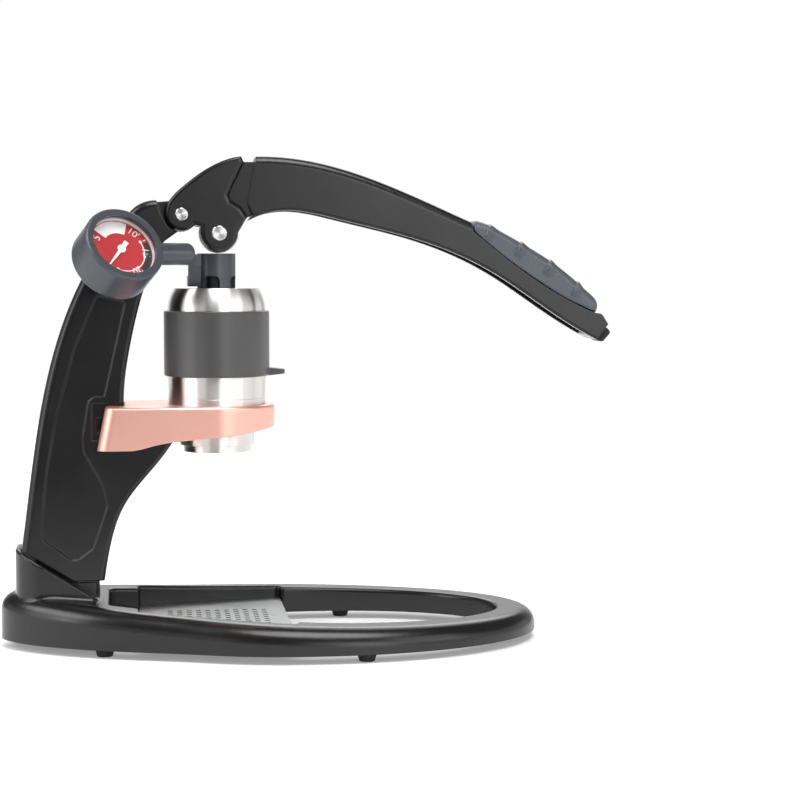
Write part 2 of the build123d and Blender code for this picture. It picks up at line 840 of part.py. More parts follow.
# Plug in the lever's end
with BuildPart() as end_plug:
    with BuildSketch(lever_side()) as plug_outline:
        with BuildLine():
            Polyline(*plug_root, plug_top, plug_tip, *plug_bottom, close=True)
        make_face()
    extrude(amount=plug_half, both=True)
finish(end_plug, "end_plug")

# Pivot pin and roller pin, held in the lever's cheeks
for pin_name, pin_place, pin_r in (
    ("pivot_pin", (0, 0), pivot_pin_r),
    ("roller_pin", (roller_reach, -roller_drop), roller_pin_r),
):
    with BuildPart() as pin:
        with BuildSketch(lever_side()):
            with Locations(pin_place):
                Circle(pin_r)
        extrude(amount=lever_half + pin_proud, both=True)
        chamfer(pin.edges().filter_by(GeomType.CIRCLE), pin_proud)
    finish(pin, pin_name)

# Roller that presses on the stem
with BuildPart() as roller:
    with BuildSketch(lever_side()):
        with Locations((roller_reach, -roller_drop)):
            Circle(roller_r)
            Circle(roller_pin_r + running_gap, mode=Mode.SUBTRACT)
    extrude(amount=roller_half, both=True)
finish(roller, "roller")

brew_axis = Axis((brew_x, 0, 0), (0, 0, 1))

# Portafilter holder: a paddle with a ring at the front and two prongs that slide on the post
prong_lug_bottom = holder_underside[0][1]
with BuildPart() as portafilter_holder:
    with BuildSketch(plan(prong_lug_bottom)):
        Circle(holder_r)
        with BuildLine():
            Polyline(
                (0, holder_r),
                (-prong_back, prong_end_half),
                (-prong_back, -prong_end_half),
                (0, -holder_r),
                close=True,
            )
        make_face()
    extrude(amount=holder_top - prong_lug_bottom)
    with BuildSketch(side()):
        with BuildLine():
            Polyline(
                (-prong_back, prong_lug_bottom),
                (-prong_back + prong_end_lean, holder_top),
                (-prong_back - cut_margin, holder_top),
                (-prong_back - cut_margin, prong_lug_bottom),
                close=True,
            )
        make_face()
    extrude(amount=2 * holder_r, both=True, mode=Mode.SUBTRACT)
    end_corners = portafilter_holder.edges().filter_by(
        lambda edge: edge.center().X < brew_x - prong_back + prong_end_lean
        and edge.bounding_box().size.Z > holder_floor
    )
    fillet(end_corners, prong_corner)
    fillet(portafilter_holder.faces().sort_by(Axis.Z)[-1].edges(), holder_edge_round)
    with BuildSketch(side()):
        with BuildLine():
            Spline(*holder_underside, tangents=((1, 0), (1, 0.2)))
            Polyline(
                holder_underside[-1],
                (2 * holder_r, holder_underside[-1][1]),
                (2 * holder_r, prong_lug_bottom - cut_margin),
                (holder_underside[0][0], prong_lug_bottom - cut_margin),
                holder_underside[0],
            )
        make_face()
    extrude(amount=2 * holder_r, both=True, mode=Mode.SUBTRACT)
    with BuildSketch(plan(holder_bottom)):
        with Locations((-post_front + sliding_gap - prong_back, 0)):
            Rectangle(2 * prong_back, 2 * prong_inner)
    extrude(amount=holder_top - holder_bottom, mode=Mode.SUBTRACT)
    with BuildSketch(plan(prong_lug_bottom)):
        with Locations((-prong_back, 0)):
            Rectangle(2 * prong_back, 2 * (post_half + sliding_gap))
    extrude(amount=holder_bottom - prong_lug_bottom, mode=Mode.SUBTRACT)
    for hand in (-1, 1):
        with BuildSketch(side(hand * prong_inner)):
            with BuildLine():
                Polyline(
                    (-prong_back + prong_end_lean, rib_bottom),
                    (-post_front - sliding_gap, rib_bottom),
                    (-post_front - sliding_gap, rib_top),
                    (-prong_back + prong_end_lean, rib_top),
                    close=True,
                )
            make_face()
        extrude(amount=hand * rib_depth)
    with BuildSketch(plan(flange_bottom)):
        Circle(cylinder_r + seat_gap)
    extrude(amount=holder_top - flange_bottom, mode=Mode.SUBTRACT)
    with BuildSketch(plan(holder_bottom)):
        Circle(cup_spout_r + seat_gap)
    extrude(amount=holder_floor, mode=Mode.SUBTRACT)
finish(portafilter_holder, "portafilter_holder")

# Portafilter cup with its spout
with BuildPart() as portafilter_cup:
    with BuildSketch(side()):
        with BuildLine():
            Polyline(
                (cup_spout_bore_r, cup_bottom),
                (cup_lip_r, cup_bottom),
                (cup_lip_r, cup_step_z),
                (cup_spout_r, cup_step_z),
                (cup_spout_r, flange_bottom),
                (cylinder_r, flange_bottom),
                (cylinder_r, cup_top),
                (basket_r + seat_gap, cup_top),
                (basket_r + seat_gap, basket_seat),
                (cup_spout_bore_r, basket_seat),
                close=True,
            )
        make_face()
    revolve(axis=brew_axis)
finish(portafilter_cup, "portafilter_cup")

# Filter basket with a drilled floor
with BuildPart() as filter_basket:
    with BuildSketch(plan(basket_seat)):
        Circle(basket_r)
    extrude(amount=basket_height)
    with BuildSketch(plan(basket_seat + basket_wall)):
        Circle(basket_r - basket_wall)
    extrude(amount=basket_height - basket_wall, mode=Mode.SUBTRACT)
    with BuildSketch(plan(basket_seat)):
        for ring in range(1, basket_rings + 1):
            with PolarLocations(ring * basket_ring_pitch, 6 * ring):
                Circle(basket_hole_r)
    extrude(amount=basket_wall, mode=Mode.SUBTRACT)
finish(filter_basket, "filter_basket")

# Dispersion screen on the basket's rim
with BuildPart() as dispersion_screen:
    with BuildSketch(plan(basket_seat + basket_height)):
        Circle(basket_r)
        for ring in range(1, basket_rings + 1):
            with PolarLocations(ring * basket_ring_pitch, 6 * ring):
                Circle(screen_hole_r, mode=Mode.SUBTRACT)
    extrude(amount=screen_thickness)
finish(dispersion_screen, "dispersion_screen")

# Brew cylinder with a rounded shoulder and a guide hole for the stem
seal_inner = bore_r + cylinder_wall / 4
seal_outer = cylinder_r - cylinder_wall / 4
with BuildPart() as brew_cylinder:
    with BuildSketch(side()):
        with BuildLine():
            Polyline(
                (cylinder_r - shoulder_in, cylinder_top),
                (stem_r + sliding_gap, cylinder_top),
                (stem_r + sliding_gap, cylinder_top - cylinder_roof),
                (bore_r, cylinder_top - cylinder_roof),
                (bore_r, cup_top),
                (cylinder_r, cup_top),
                (cylinder_r, cylinder_top - shoulder_height),
            )
            TangentArc(
                (cylinder_r, cylinder_top - shoulder_height),
                (cylinder_r - shoulder_in, cylinder_top),
                tangent=(0, 1),
            )
        make_face()
    revolve(axis=brew_axis)
    with BuildSketch(plan(cup_top)):
        Circle(seal_outer)
        Circle(seal_inner, mode=Mode.SUBTRACT)
    extrude(amount=seal_groove, mode=Mode.SUBTRACT)
finish(brew_cylinder, "brew_cylinder")

# Seal between the cylinder and the portafilter
with BuildPart() as cylinder_seal:
    with BuildSketch(plan(cup_top)):
        Circle(seal_outer - seat_gap)
        Circle(seal_inner + seat_gap, mode=Mode.SUBTRACT)
    extrude(amount=seal_groove)
finish(cylinder_seal, "cylinder_seal")

# Silicone sleeve with a pull tab
with BuildPart() as silicone_sleeve:
    with BuildSketch(plan(sleeve_bottom)):
        Circle(cylinder_r + sleeve_wall)
        Circle(cylinder_r + seat_gap, mode=Mode.SUBTRACT)
    extrude(amount=sleeve_top - sleeve_bottom)
    fillet(silicone_sleeve.edges().filter_by(GeomType.CIRCLE).sort_by(SortBy.RADIUS)[-2:], sleeve_edge_round)
    tab_middle = sleeve_bottom + sleeve_tab_root / 2
    tab_start = cylinder_r + sleeve_wall / 2
    with BuildSketch(side()):
        with BuildLine():
            Polyline(
                (tab_start, sleeve_bottom),
                (tab_start + sleeve_tab_length, tab_middle - sleeve_tab_tip / 2),
                (tab_start + sleeve_tab_length, tab_middle + sleeve_tab_tip / 2),
                (tab_start, sleeve_bottom + sleeve_tab_root),
                close=True,
            )
        make_face()
    extrude(amount=sleeve_tab_half, both=True)
    tab_end = silicone_sleeve.faces().sort_by(Axis.X)[-1]
    fillet(tab_end.edges().filter_by(Axis.Z), sleeve_tab_half / 2)
finish(silicone_sleeve, "silicone_sleeve")

# Bearings and planes of the gauge and its arm
arm_direction = Vector(cos(radians(gauge_yaw)), sin(radians(gauge_yaw)), 0)
gauge_normal = Vector(
    cos(radians(gauge_tilt)) * sin(radians(gauge_yaw)),
    -cos(radians(gauge_tilt)) * cos(radians(gauge_yaw)),
    sin(radians(gauge_tilt)),
)
gauge_centre = Vector(brew_x + arm_end_x, arm_end_y, arm_z) - arm_direction * gauge_reach
gauge_axis = Axis(gauge_centre, gauge_normal)
gauge_section = Plane(gauge_centre, x_dir=arm_direction, z_dir=arm_direction.cross(gauge_normal))
gauge_front = case_depth / 2
dial_front = gauge_front - dial_recess
dial_back = dial_front - dial_thickness
lens_back = gauge_front - case_lip - lens_thickness
stem_web_plane = Plane((brew_x + stem_web_x, 0, 0), x_dir=(0, -1, 0), z_dir=(-1, 0, 0))
stem_web_bottom = cylinder_top + stem_web_lift
stem_web_top = stem_web_bottom + stem_web_rise
stem_web_front = arm_r / 2 - arm_end_y
stem_web_inner = -arm_end_y - stem_web_shoulder
arm_root = case_bore_r + seat_gap


def gauge_plane(offset):
    """Plane parallel to the dial, at a distance in front of the gauge's middle."""
    return Plane(gauge_centre + gauge_normal * offset, x_dir=arm_direction, z_dir=gauge_normal)


def arm_plane(distance):
    """Plane across the gauge arm, at a distance from the gauge's middle."""
    return Plane(gauge_centre + arm_direction * distance, x_dir=(0, 0, 1), z_dir=arm_direction)


# Stem: a windowed tube from the piston to the roller, with the arm for the gauge
with BuildPart() as stem:
    with BuildSketch(plan(stem_bottom)):
        Circle(stem_r)
    extrude(amount=stem_top - stem_bottom)
    with BuildSketch(stem_web_plane):
        with BuildLine():
            Polyline(
                (-stem_web_back, stem_web_bottom),
                (stem_r + stem_web_foot, stem_web_bottom),
                (stem_web_front, arm_z - arm_r),
                (stem_web_front, arm_z),
                (stem_web_inner, arm_z),
                (stem_web_inner - stem_web_lean, stem_web_top),
                (-stem_web_back, stem_web_top),
                close=True,
            )
        make_face()
    extrude(amount=stem_web_half, both=True)
    with BuildSketch(gauge_section):
        with Locations(((arm_root + gauge_reach) / 2, arm_r / 2)):
            Rectangle(gauge_reach - arm_root, arm_r)
        fillet(vertices().sort_by(Axis.X)[-2:].sort_by(Axis.Y)[-1], arm_end_round)
    revolve(axis=Axis(gauge_centre, arm_direction))
    with BuildSketch(plan(stem_bottom + stem_floor)):
        Circle(stem_bore_r)
        Circle(stem_core_r, mode=Mode.SUBTRACT)
    extrude(amount=stem_top - stem_roof - stem_bottom - stem_floor, mode=Mode.SUBTRACT)
    with BuildSketch(arm_plane(0)):
        Circle(arm_bore_r)
    extrude(amount=gauge_reach - arm_r, mode=Mode.SUBTRACT)
    for bearing in window_bearings:
        outward = Vector(cos(radians(bearing)), sin(radians(bearing)), 0)
        across = outward.cross(Vector(0, 0, -1))
        core_side = Vector(brew_x, 0, cylinder_top) + outward * stem_core_r
        with BuildSketch(Plane(core_side, x_dir=across, z_dir=outward)):
            RectangleRounded(window_width, 2 * window_height, window_round)
        extrude(amount=stem_r - stem_core_r + cut_margin, mode=Mode.SUBTRACT)
    with BuildSketch(plan(stem_bottom)):
        Circle(piston_screw_r + seat_gap)
    extrude(amount=stem_floor, mode=Mode.SUBTRACT)
finish(stem, "stem")

# Piston with grooves for two rings
piston_r = bore_r - piston_gap
oring_path_r = bore_r - 2 * running_gap - oring_r
oring_places = [piston_bottom + piston_height / 2 + shift * oring_pitch / 2 for shift in (-1, 1)]
with BuildPart() as piston:
    with BuildSketch(plan(piston_bottom)):
        Circle(piston_r)
    extrude(amount=piston_height)
    for ring_z in oring_places:
        with BuildSketch(plan(ring_z - oring_r - seat_gap)):
            Circle(bore_r)
            Circle(oring_path_r - oring_r - seat_gap, mode=Mode.SUBTRACT)
        extrude(amount=2 * (oring_r + seat_gap), mode=Mode.SUBTRACT)
    with BuildSketch(plan(piston_bottom)):
        Circle(piston_screw_head_r + seat_gap)
    extrude(amount=piston_screw_head_height, mode=Mode.SUBTRACT)
    with BuildSketch(plan(piston_bottom)):
        Circle(piston_screw_r + seat_gap)
    extrude(amount=piston_height, mode=Mode.SUBTRACT)
finish(piston, "piston")

# Rubber rings round the piston
with BuildPart() as piston_seals:
    for ring_z in oring_places:
        with Locations((brew_x, 0, ring_z)):
            Torus(oring_path_r, oring_r)
finish(piston_seals, "piston_seals")

# Screw that holds the piston on the stem
with BuildPart() as piston_screw:
    with BuildSketch(plan(piston_bottom)):
        Circle(piston_screw_head_r)
    extrude(amount=piston_screw_head_height)
    with BuildSketch(plan(piston_bottom + piston_screw_head_height)):
        Circle(piston_screw_r)
    extrude(amount=piston_height - piston_screw_head_height + stem_floor)
finish(piston_screw, "piston_screw")

# Gauge case: a deep cup open at the back, with a lip round the window
with BuildPart() as gauge_case:
    with BuildSketch(gauge_section):
        with BuildLine():
            Polyline(
                (case_bore_r, -gauge_front),
                (case_r, -gauge_front),
                (case_r, gauge_front),
                (window_r, gauge_front),
                (window_r, gauge_front - case_lip),
                (case_bore_r, gauge_front - case_lip),
                close=True,
            )
        make_face()
    revolve(axis=gauge_axis)
    fillet(gauge_case.edges().filter_by(GeomType.CIRCLE).sort_by(SortBy.RADIUS)[-2:], case_edge_round)
    with BuildSketch(arm_plane(0)):
        Circle(arm_r + seat_gap)
    extrude(amount=case_r + case_wall, mode=Mode.SUBTRACT)
finish(gauge_case, "gauge_case")

# Back cover, lens, inner ring and dial, all held in the case
gauge_discs = (
    ("gauge_back", -gauge_front, back_thickness, 0),
    ("gauge_lens", lens_back, lens_thickness, 0),
    ("gauge_inner_ring", dial_front, lens_back - dial_front, window_r),
    ("gauge_dial", dial_back, dial_thickness, spindle_r + running_gap),
)
for disc_name, disc_place, disc_thickness, disc_hole_r in gauge_discs:
    with BuildPart() as disc:
        with BuildSketch(gauge_plane(disc_place)):
            Circle(case_bore_r - seat_gap)
            if disc_hole_r:
                Circle(disc_hole_r, mode=Mode.SUBTRACT)
        extrude(amount=disc_thickness)
    finish(disc, disc_name)

# Movement block behind the dial
with BuildPart() as gauge_movement:
    with BuildSketch(gauge_plane(dial_back - movement_depth)):
        Rectangle(2 * movement_half, 2 * movement_half)
        Circle(spindle_r + running_gap, mode=Mode.SUBTRACT)
    extrude(amount=movement_depth)
finish(gauge_movement, "gauge_movement")

# Curved pressure tube round the movement
with BuildPart() as bourdon_tube:
    with BuildLine(gauge_plane(-fitting_r - tube_r - 2 * seat_gap)) as tube_path:
        CenterArc((0, 0), tube_path_r, 0, tube_sweep)
    with BuildSketch(Plane(tube_path.line @ 0, z_dir=tube_path.line % 0)):
        Circle(tube_r)
        Circle(tube_r / 2, mode=Mode.SUBTRACT)
    sweep(path=tube_path.line)
finish(bourdon_tube, "bourdon_tube")

# Fitting that leads from the arm's bore to the pressure tube
with BuildPart() as gauge_fitting:
    with BuildSketch(arm_plane(tube_path_r - tube_r)):
        Circle(fitting_r)
        Circle(fitting_r / 2, mode=Mode.SUBTRACT)
    extrude(amount=case_r)
finish(gauge_fitting, "gauge_fitting")

# Needle with its hub and spindle
needle_back = dial_front + sliding_gap
dial_up = gauge_normal.cross(arm_direction)
needle_direction = arm_direction * cos(radians(needle_rest)) + dial_up * sin(radians(needle_rest))
needle_plane = Plane(gauge_centre + gauge_normal * needle_back, x_dir=needle_direction, z_dir=gauge_normal)
with BuildPart() as needle:
    with BuildSketch(needle_plane):
        Circle(hub_r)
        with BuildLine():
            Polyline(
                (-needle_tail, needle_tail_half),
                (0, needle_root_half),
                (needle_length, needle_tip_half),
                (needle_length, -needle_tip_half),
                (0, -needle_root_half),
                (-needle_tail, -needle_tail_half),
                close=True,
            )
        make_face()
    extrude(amount=needle_thickness)
    with BuildSketch(gauge_plane(dial_back - movement_depth)):
        Circle(spindle_r)
    extrude(amount=needle_back - dial_back + movement_depth)
finish(needle, "needle")
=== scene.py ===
"""Looks of a lever-type manual espresso maker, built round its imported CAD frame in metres."""
import json
import logging
from dataclasses import dataclass, field, replace
from enum import Enum
from math import cos, pi, radians, sin, tau

import bpy
from mathutils import Matrix, Vector


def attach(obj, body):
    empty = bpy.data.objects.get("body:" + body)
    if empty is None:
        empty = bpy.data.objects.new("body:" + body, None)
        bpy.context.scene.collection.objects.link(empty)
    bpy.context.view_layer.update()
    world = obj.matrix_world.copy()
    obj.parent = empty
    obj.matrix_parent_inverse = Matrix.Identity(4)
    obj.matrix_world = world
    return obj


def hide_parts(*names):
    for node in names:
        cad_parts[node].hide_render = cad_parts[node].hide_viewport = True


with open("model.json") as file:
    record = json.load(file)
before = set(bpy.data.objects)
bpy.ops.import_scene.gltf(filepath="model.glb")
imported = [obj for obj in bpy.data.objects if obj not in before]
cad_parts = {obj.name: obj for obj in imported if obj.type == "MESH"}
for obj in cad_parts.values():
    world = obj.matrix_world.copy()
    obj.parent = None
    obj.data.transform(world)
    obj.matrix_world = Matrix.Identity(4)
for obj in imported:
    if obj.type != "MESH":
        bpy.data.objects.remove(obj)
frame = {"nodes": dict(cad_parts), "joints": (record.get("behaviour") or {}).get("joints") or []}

LOG = logging.getLogger("espresso_maker")
MM = 0.001

# Points of a flat print that are closer than this, in metres, are one.
MERGE_GAP = 0.000001
# Keeps the end of a curve inside its last span.
CURVE_END = 0.99999
# Anisotropic Rotation counts whole turns.
QUARTER_TURN = 0.25
BEVEL_SAMPLES = 6
# A painted edge highlight is this many times as bright as its surface, and a little more.
HIGHLIGHT_GAIN, HIGHLIGHT_LIFT = 3.0, 0.03
# Sockets of a Mix node that mixes colours.
MIX_SHARE, MIX_FIRST, MIX_SECOND, MIX_RESULT = 0, 6, 7, 2

Colour = tuple[float, float, float]
Triple = tuple[float, float, float]
Span = tuple[float, float, float, float]
Outline = tuple[tuple[float, float], ...]
Sockets = dict[str, bpy.types.NodeSocket]


class Lay(Enum):
    """Direction in which a brushed steel's lines run, as how close they lie along X, Y and Z."""

    ALONG = (6.0, 400.0, 400.0)
    ROUND = (30.0, 30.0, 1500.0)


class NodeBench:
    """A node tree with short calls for adding nodes and joining sockets."""

    def __init__(self, tree: bpy.types.NodeTree) -> None:
        """Keep the tree that the calls work on."""
        self.tree = tree

    def add(self, kind: str, **settings: object) -> bpy.types.Node:
        """Add a node.

        Args:
            kind: Blender's name of the node type.
            settings: Properties of the node and their values.

        Returns:
            The new node.
        """
        node = self.tree.nodes.new(kind)
        for name, value in settings.items():
            setattr(node, name, value)
        return node

    def join(self, source: bpy.types.NodeSocket, target: bpy.types.NodeSocket) -> None:
        """Link one output socket to one input socket."""
        self.tree.links.new(source, target)

    def feed(self, node: bpy.types.Node, *given: object) -> None:
        """Give a node's first inputs what they work on.

        Args:
            node: The node.
            given: A socket or a value for each input, in order.
        """
        for place, value in enumerate(given):
            if isinstance(value, bpy.types.NodeSocket):
                self.join(value, node.inputs[place])
            else:
                node.inputs[place].default_value = value

    def maths(self, operation: str, first: object, second: object = 0.0) -> bpy.types.NodeSocket:
        """Add a Math node.

        Args:
            operation: Name of the sum, such as MULTIPLY.
            first: A socket or a number.
            second: A socket or a number.

        Returns:
            The node's output socket.
        """
        node = self.add("ShaderNodeMath", operation=operation)
        self.feed(node, first, second)
        return node.outputs[0]

    def blend(
        self, factor: bpy.types.NodeSocket, first: bpy.types.NodeSocket, second: Colour
    ) -> bpy.types.NodeSocket:
        """Mix a colour with a plain one.

        Args:
            factor: Share of the second colour.
            first: Socket of the first colour.
            second: The second colour.

        Returns:
            The socket of the mixed colour.
        """
        node = self.add("ShaderNodeMix", data_type="RGBA")
        node.inputs[MIX_SECOND].default_value = (*second, 1.0)
        self.join(factor, node.inputs[MIX_SHARE])
        self.join(first, node.inputs[MIX_FIRST])
        return node.outputs[MIX_RESULT]

    def vector(self, operation: str, first: object, second: object = (0, 0, 0)) -> bpy.types.Node:
        """Add a Vector Math node.

        Args:
            operation: Name of the sum, such as SUBTRACT.
            first: A socket or a triple of numbers.
            second: A socket or a triple of numbers.

        Returns:
            The node, whose outputs are Vector and Value.
        """
        node = self.add("ShaderNodeVectorMath", operation=operation)
        self.feed(node, first, second)
        return node

    def group(self, tree: bpy.types.NodeTree, **values: object) -> bpy.types.Node:
        """Place a node group.

        Args:
            tree: The group.
            values: What its inputs are set to.

        Returns:
            The group's node.
        """
        node = self.add("ShaderNodeGroup", node_tree=tree)
        for name, value in values.items():
            node.inputs[name].default_value = value
        return node


class EffectGroups:
    """Shader node groups that several finishes share, each built once."""

    def __init__(self) -> None:
        """Build every group."""
        self.grain = self._grain()
        self.gloss = self._gloss()
        self.tone = self._tone()
        self.lines = self._lines()
        self.turning = self._turning()
        self.edge_highlight = self._edge_highlight()

    @staticmethod
    def _start(
        name: str, inputs: dict[str, str], outputs: dict[str, str]
    ) -> tuple[NodeBench, Sockets, Sockets]:
        """Start a group.

        Args:
            name: Name of the group.
            inputs: Socket types by input name.
            outputs: Socket types by output name.

        Returns:
            The bench, the group's inputs by name and its outputs by name.
        """
        tree = bpy.data.node_groups.new(name, "ShaderNodeTree")
        for label, kind in inputs.items():
            tree.interface.new_socket(label, in_out="INPUT", socket_type=kind)
        for label, kind in outputs.items():
            tree.interface.new_socket(label, in_out="OUTPUT", socket_type=kind)
        bench = NodeBench(tree)
        entry = bench.add("NodeGroupInput")
        leave = bench.add("NodeGroupOutput")
        given = {label: entry.outputs[label] for label in inputs}
        return bench, given, {label: leave.inputs[label] for label in outputs}

    @staticmethod
    def _noise(bench: NodeBench, scale: bpy.types.NodeSocket, detail: float) -> bpy.types.Node:
        """Noise over the piece's own coordinates.

        Args:
            bench: The group's nodes.
            scale: The noise's scale.
            detail: How many finer layers it has.

        Returns:
            The noise node.
        """
        place = bench.add("ShaderNodeTexCoord").outputs["Object"]
        noise = bench.add("ShaderNodeTexNoise")
        noise.inputs["Detail"].default_value = detail
        bench.join(place, noise.inputs["Vector"])
        bench.join(scale, noise.inputs["Scale"])
        return noise

    def _grain(self) -> bpy.types.NodeTree:
        """Fine even pitting, as a height.

        Returns:
            The group.
        """
        bench, given, put = self._start(
            "fine_grain", {"Scale": "NodeSocketFloat"}, {"Height": "NodeSocketFloat"}
        )
        noise = self._noise(bench, given["Scale"], detail=2.0)
        bench.join(noise.outputs["Fac"], put["Height"])
        return bench.tree

    def _gloss(self) -> bpy.types.NodeTree:
        """Slow changes of roughness, as handling leaves them.

        Returns:
            The group.
        """
        bench, given, put = self._start(
            "uneven_gloss",
            {"Scale": "NodeSocketFloat", "Low": "NodeSocketFloat", "High": "NodeSocketFloat"},
            {"Roughness": "NodeSocketFloat"},
        )
        noise = self._noise(bench, given["Scale"], detail=4.0)
        noise.inputs["Roughness"].default_value = 0.6
        spread = bench.add("ShaderNodeMapRange")
        spread.inputs["From Min"].default_value = 0.3
        spread.inputs["From Max"].default_value = 0.7
        bench.join(noise.outputs["Fac"], spread.inputs["Value"])
        bench.join(given["Low"], spread.inputs["To Min"])
        bench.join(given["High"], spread.inputs["To Max"])
        bench.join(spread.outputs["Result"], put["Roughness"])
        return bench.tree

    def _tone(self) -> bpy.types.NodeTree:
        """A colour that drifts a little lighter and darker over the surface.

        Returns:
            The group.
        """
        bench, given, put = self._start(
            "tone_drift",
            {"Color": "NodeSocketColor", "Scale": "NodeSocketFloat", "Amount": "NodeSocketFloat"},
            {"Color": "NodeSocketColor"},
        )
        noise = self._noise(bench, given["Scale"], detail=5.0)
        centred = bench.maths("SUBTRACT", noise.outputs["Fac"], 0.5)
        drift = bench.maths("MULTIPLY", centred, given["Amount"])
        factor = bench.maths("ADD", drift, 1.0)
        scaled = bench.vector("SCALE", given["Color"])
        bench.join(factor, scaled.inputs["Scale"])
        bench.join(scaled.outputs["Vector"], put["Color"])
        return bench.tree

    def _lines(self) -> bpy.types.NodeTree:
        """Drawn-out lines of brushed metal, as a height.

        Returns:
            The group.
        """
        bench, given, put = self._start(
            "brushed_lines", {"Stretch": "NodeSocketVector"}, {"Height": "NodeSocketFloat"}
        )
        place = bench.add("ShaderNodeTexCoord").outputs["Object"]
        drawn = bench.vector("MULTIPLY", place, given["Stretch"]).outputs["Vector"]
        noise = bench.add("ShaderNodeTexNoise")
        noise.inputs["Scale"].default_value = 4.0
        noise.inputs["Detail"].default_value = 3.0
        bench.join(drawn, noise.inputs["Vector"])
        bench.join(noise.outputs["Fac"], put["Height"])
        return bench.tree

    def _turning(self) -> bpy.types.NodeTree:
        """Rings that a lathe tool leaves round an axis, as a height.

        Returns:
            The group.
        """
        bench, given, put = self._start(
            "turning_rings",
            {"Centre": "NodeSocketVector", "Axis": "NodeSocketVector", "Rings": "NodeSocketFloat"},
            {"Height": "NodeSocketFloat"},
        )
        place = bench.add("ShaderNodeTexCoord").outputs["Object"]
        arm = bench.vector("SUBTRACT", place, given["Centre"]).outputs["Vector"]
        across = bench.vector("CROSS_PRODUCT", arm, given["Axis"]).outputs["Vector"]
        radius = bench.vector("LENGTH", across).outputs["Value"]
        noise = bench.add("ShaderNodeTexNoise", noise_dimensions="1D")
        noise.inputs["Scale"].default_value = 1.0
        noise.inputs["Detail"].default_value = 3.0
        bench.join(bench.maths("MULTIPLY", radius, given["Rings"]), noise.inputs["W"])
        bench.join(noise.outputs["Fac"], put["Height"])
        return bench.tree

    def _edge_highlight(self) -> bpy.types.NodeTree:
        """Mask of the outer edges that get a pale painted highlight, broken up by a coarse noise.

        Returns:
            The group.
        """
        bench, given, put = self._start(
            "painted_edge_highlight",
            {"Radius": "NodeSocketFloat", "Amount": "NodeSocketFloat"},
            {"Mask": "NodeSocketFloat"},
        )
        rounded = bench.add("ShaderNodeBevel", samples=BEVEL_SAMPLES)
        bench.join(given["Radius"], rounded.inputs["Radius"])
        flat = bench.add("ShaderNodeNewGeometry").outputs["Normal"]
        agree = bench.vector("DOT_PRODUCT", rounded.outputs["Normal"], flat).outputs["Value"]
        turned = bench.maths("SUBTRACT", 1.0, agree)
        noise = bench.add("ShaderNodeTexNoise")
        noise.inputs["Scale"].default_value = 220.0
        bench.join(bench.add("ShaderNodeTexCoord").outputs["Object"], noise.inputs["Vector"])
        broken = bench.maths("MULTIPLY", turned, noise.outputs["Fac"])
        amount = bench.add("ShaderNodeMath", operation="MULTIPLY", use_clamp=True)
        bench.join(broken, amount.inputs[0])
        bench.join(given["Amount"], amount.inputs[1])
        bench.join(amount.outputs[0], put["Mask"])
        return bench.tree


GROUPS = EffectGroups()


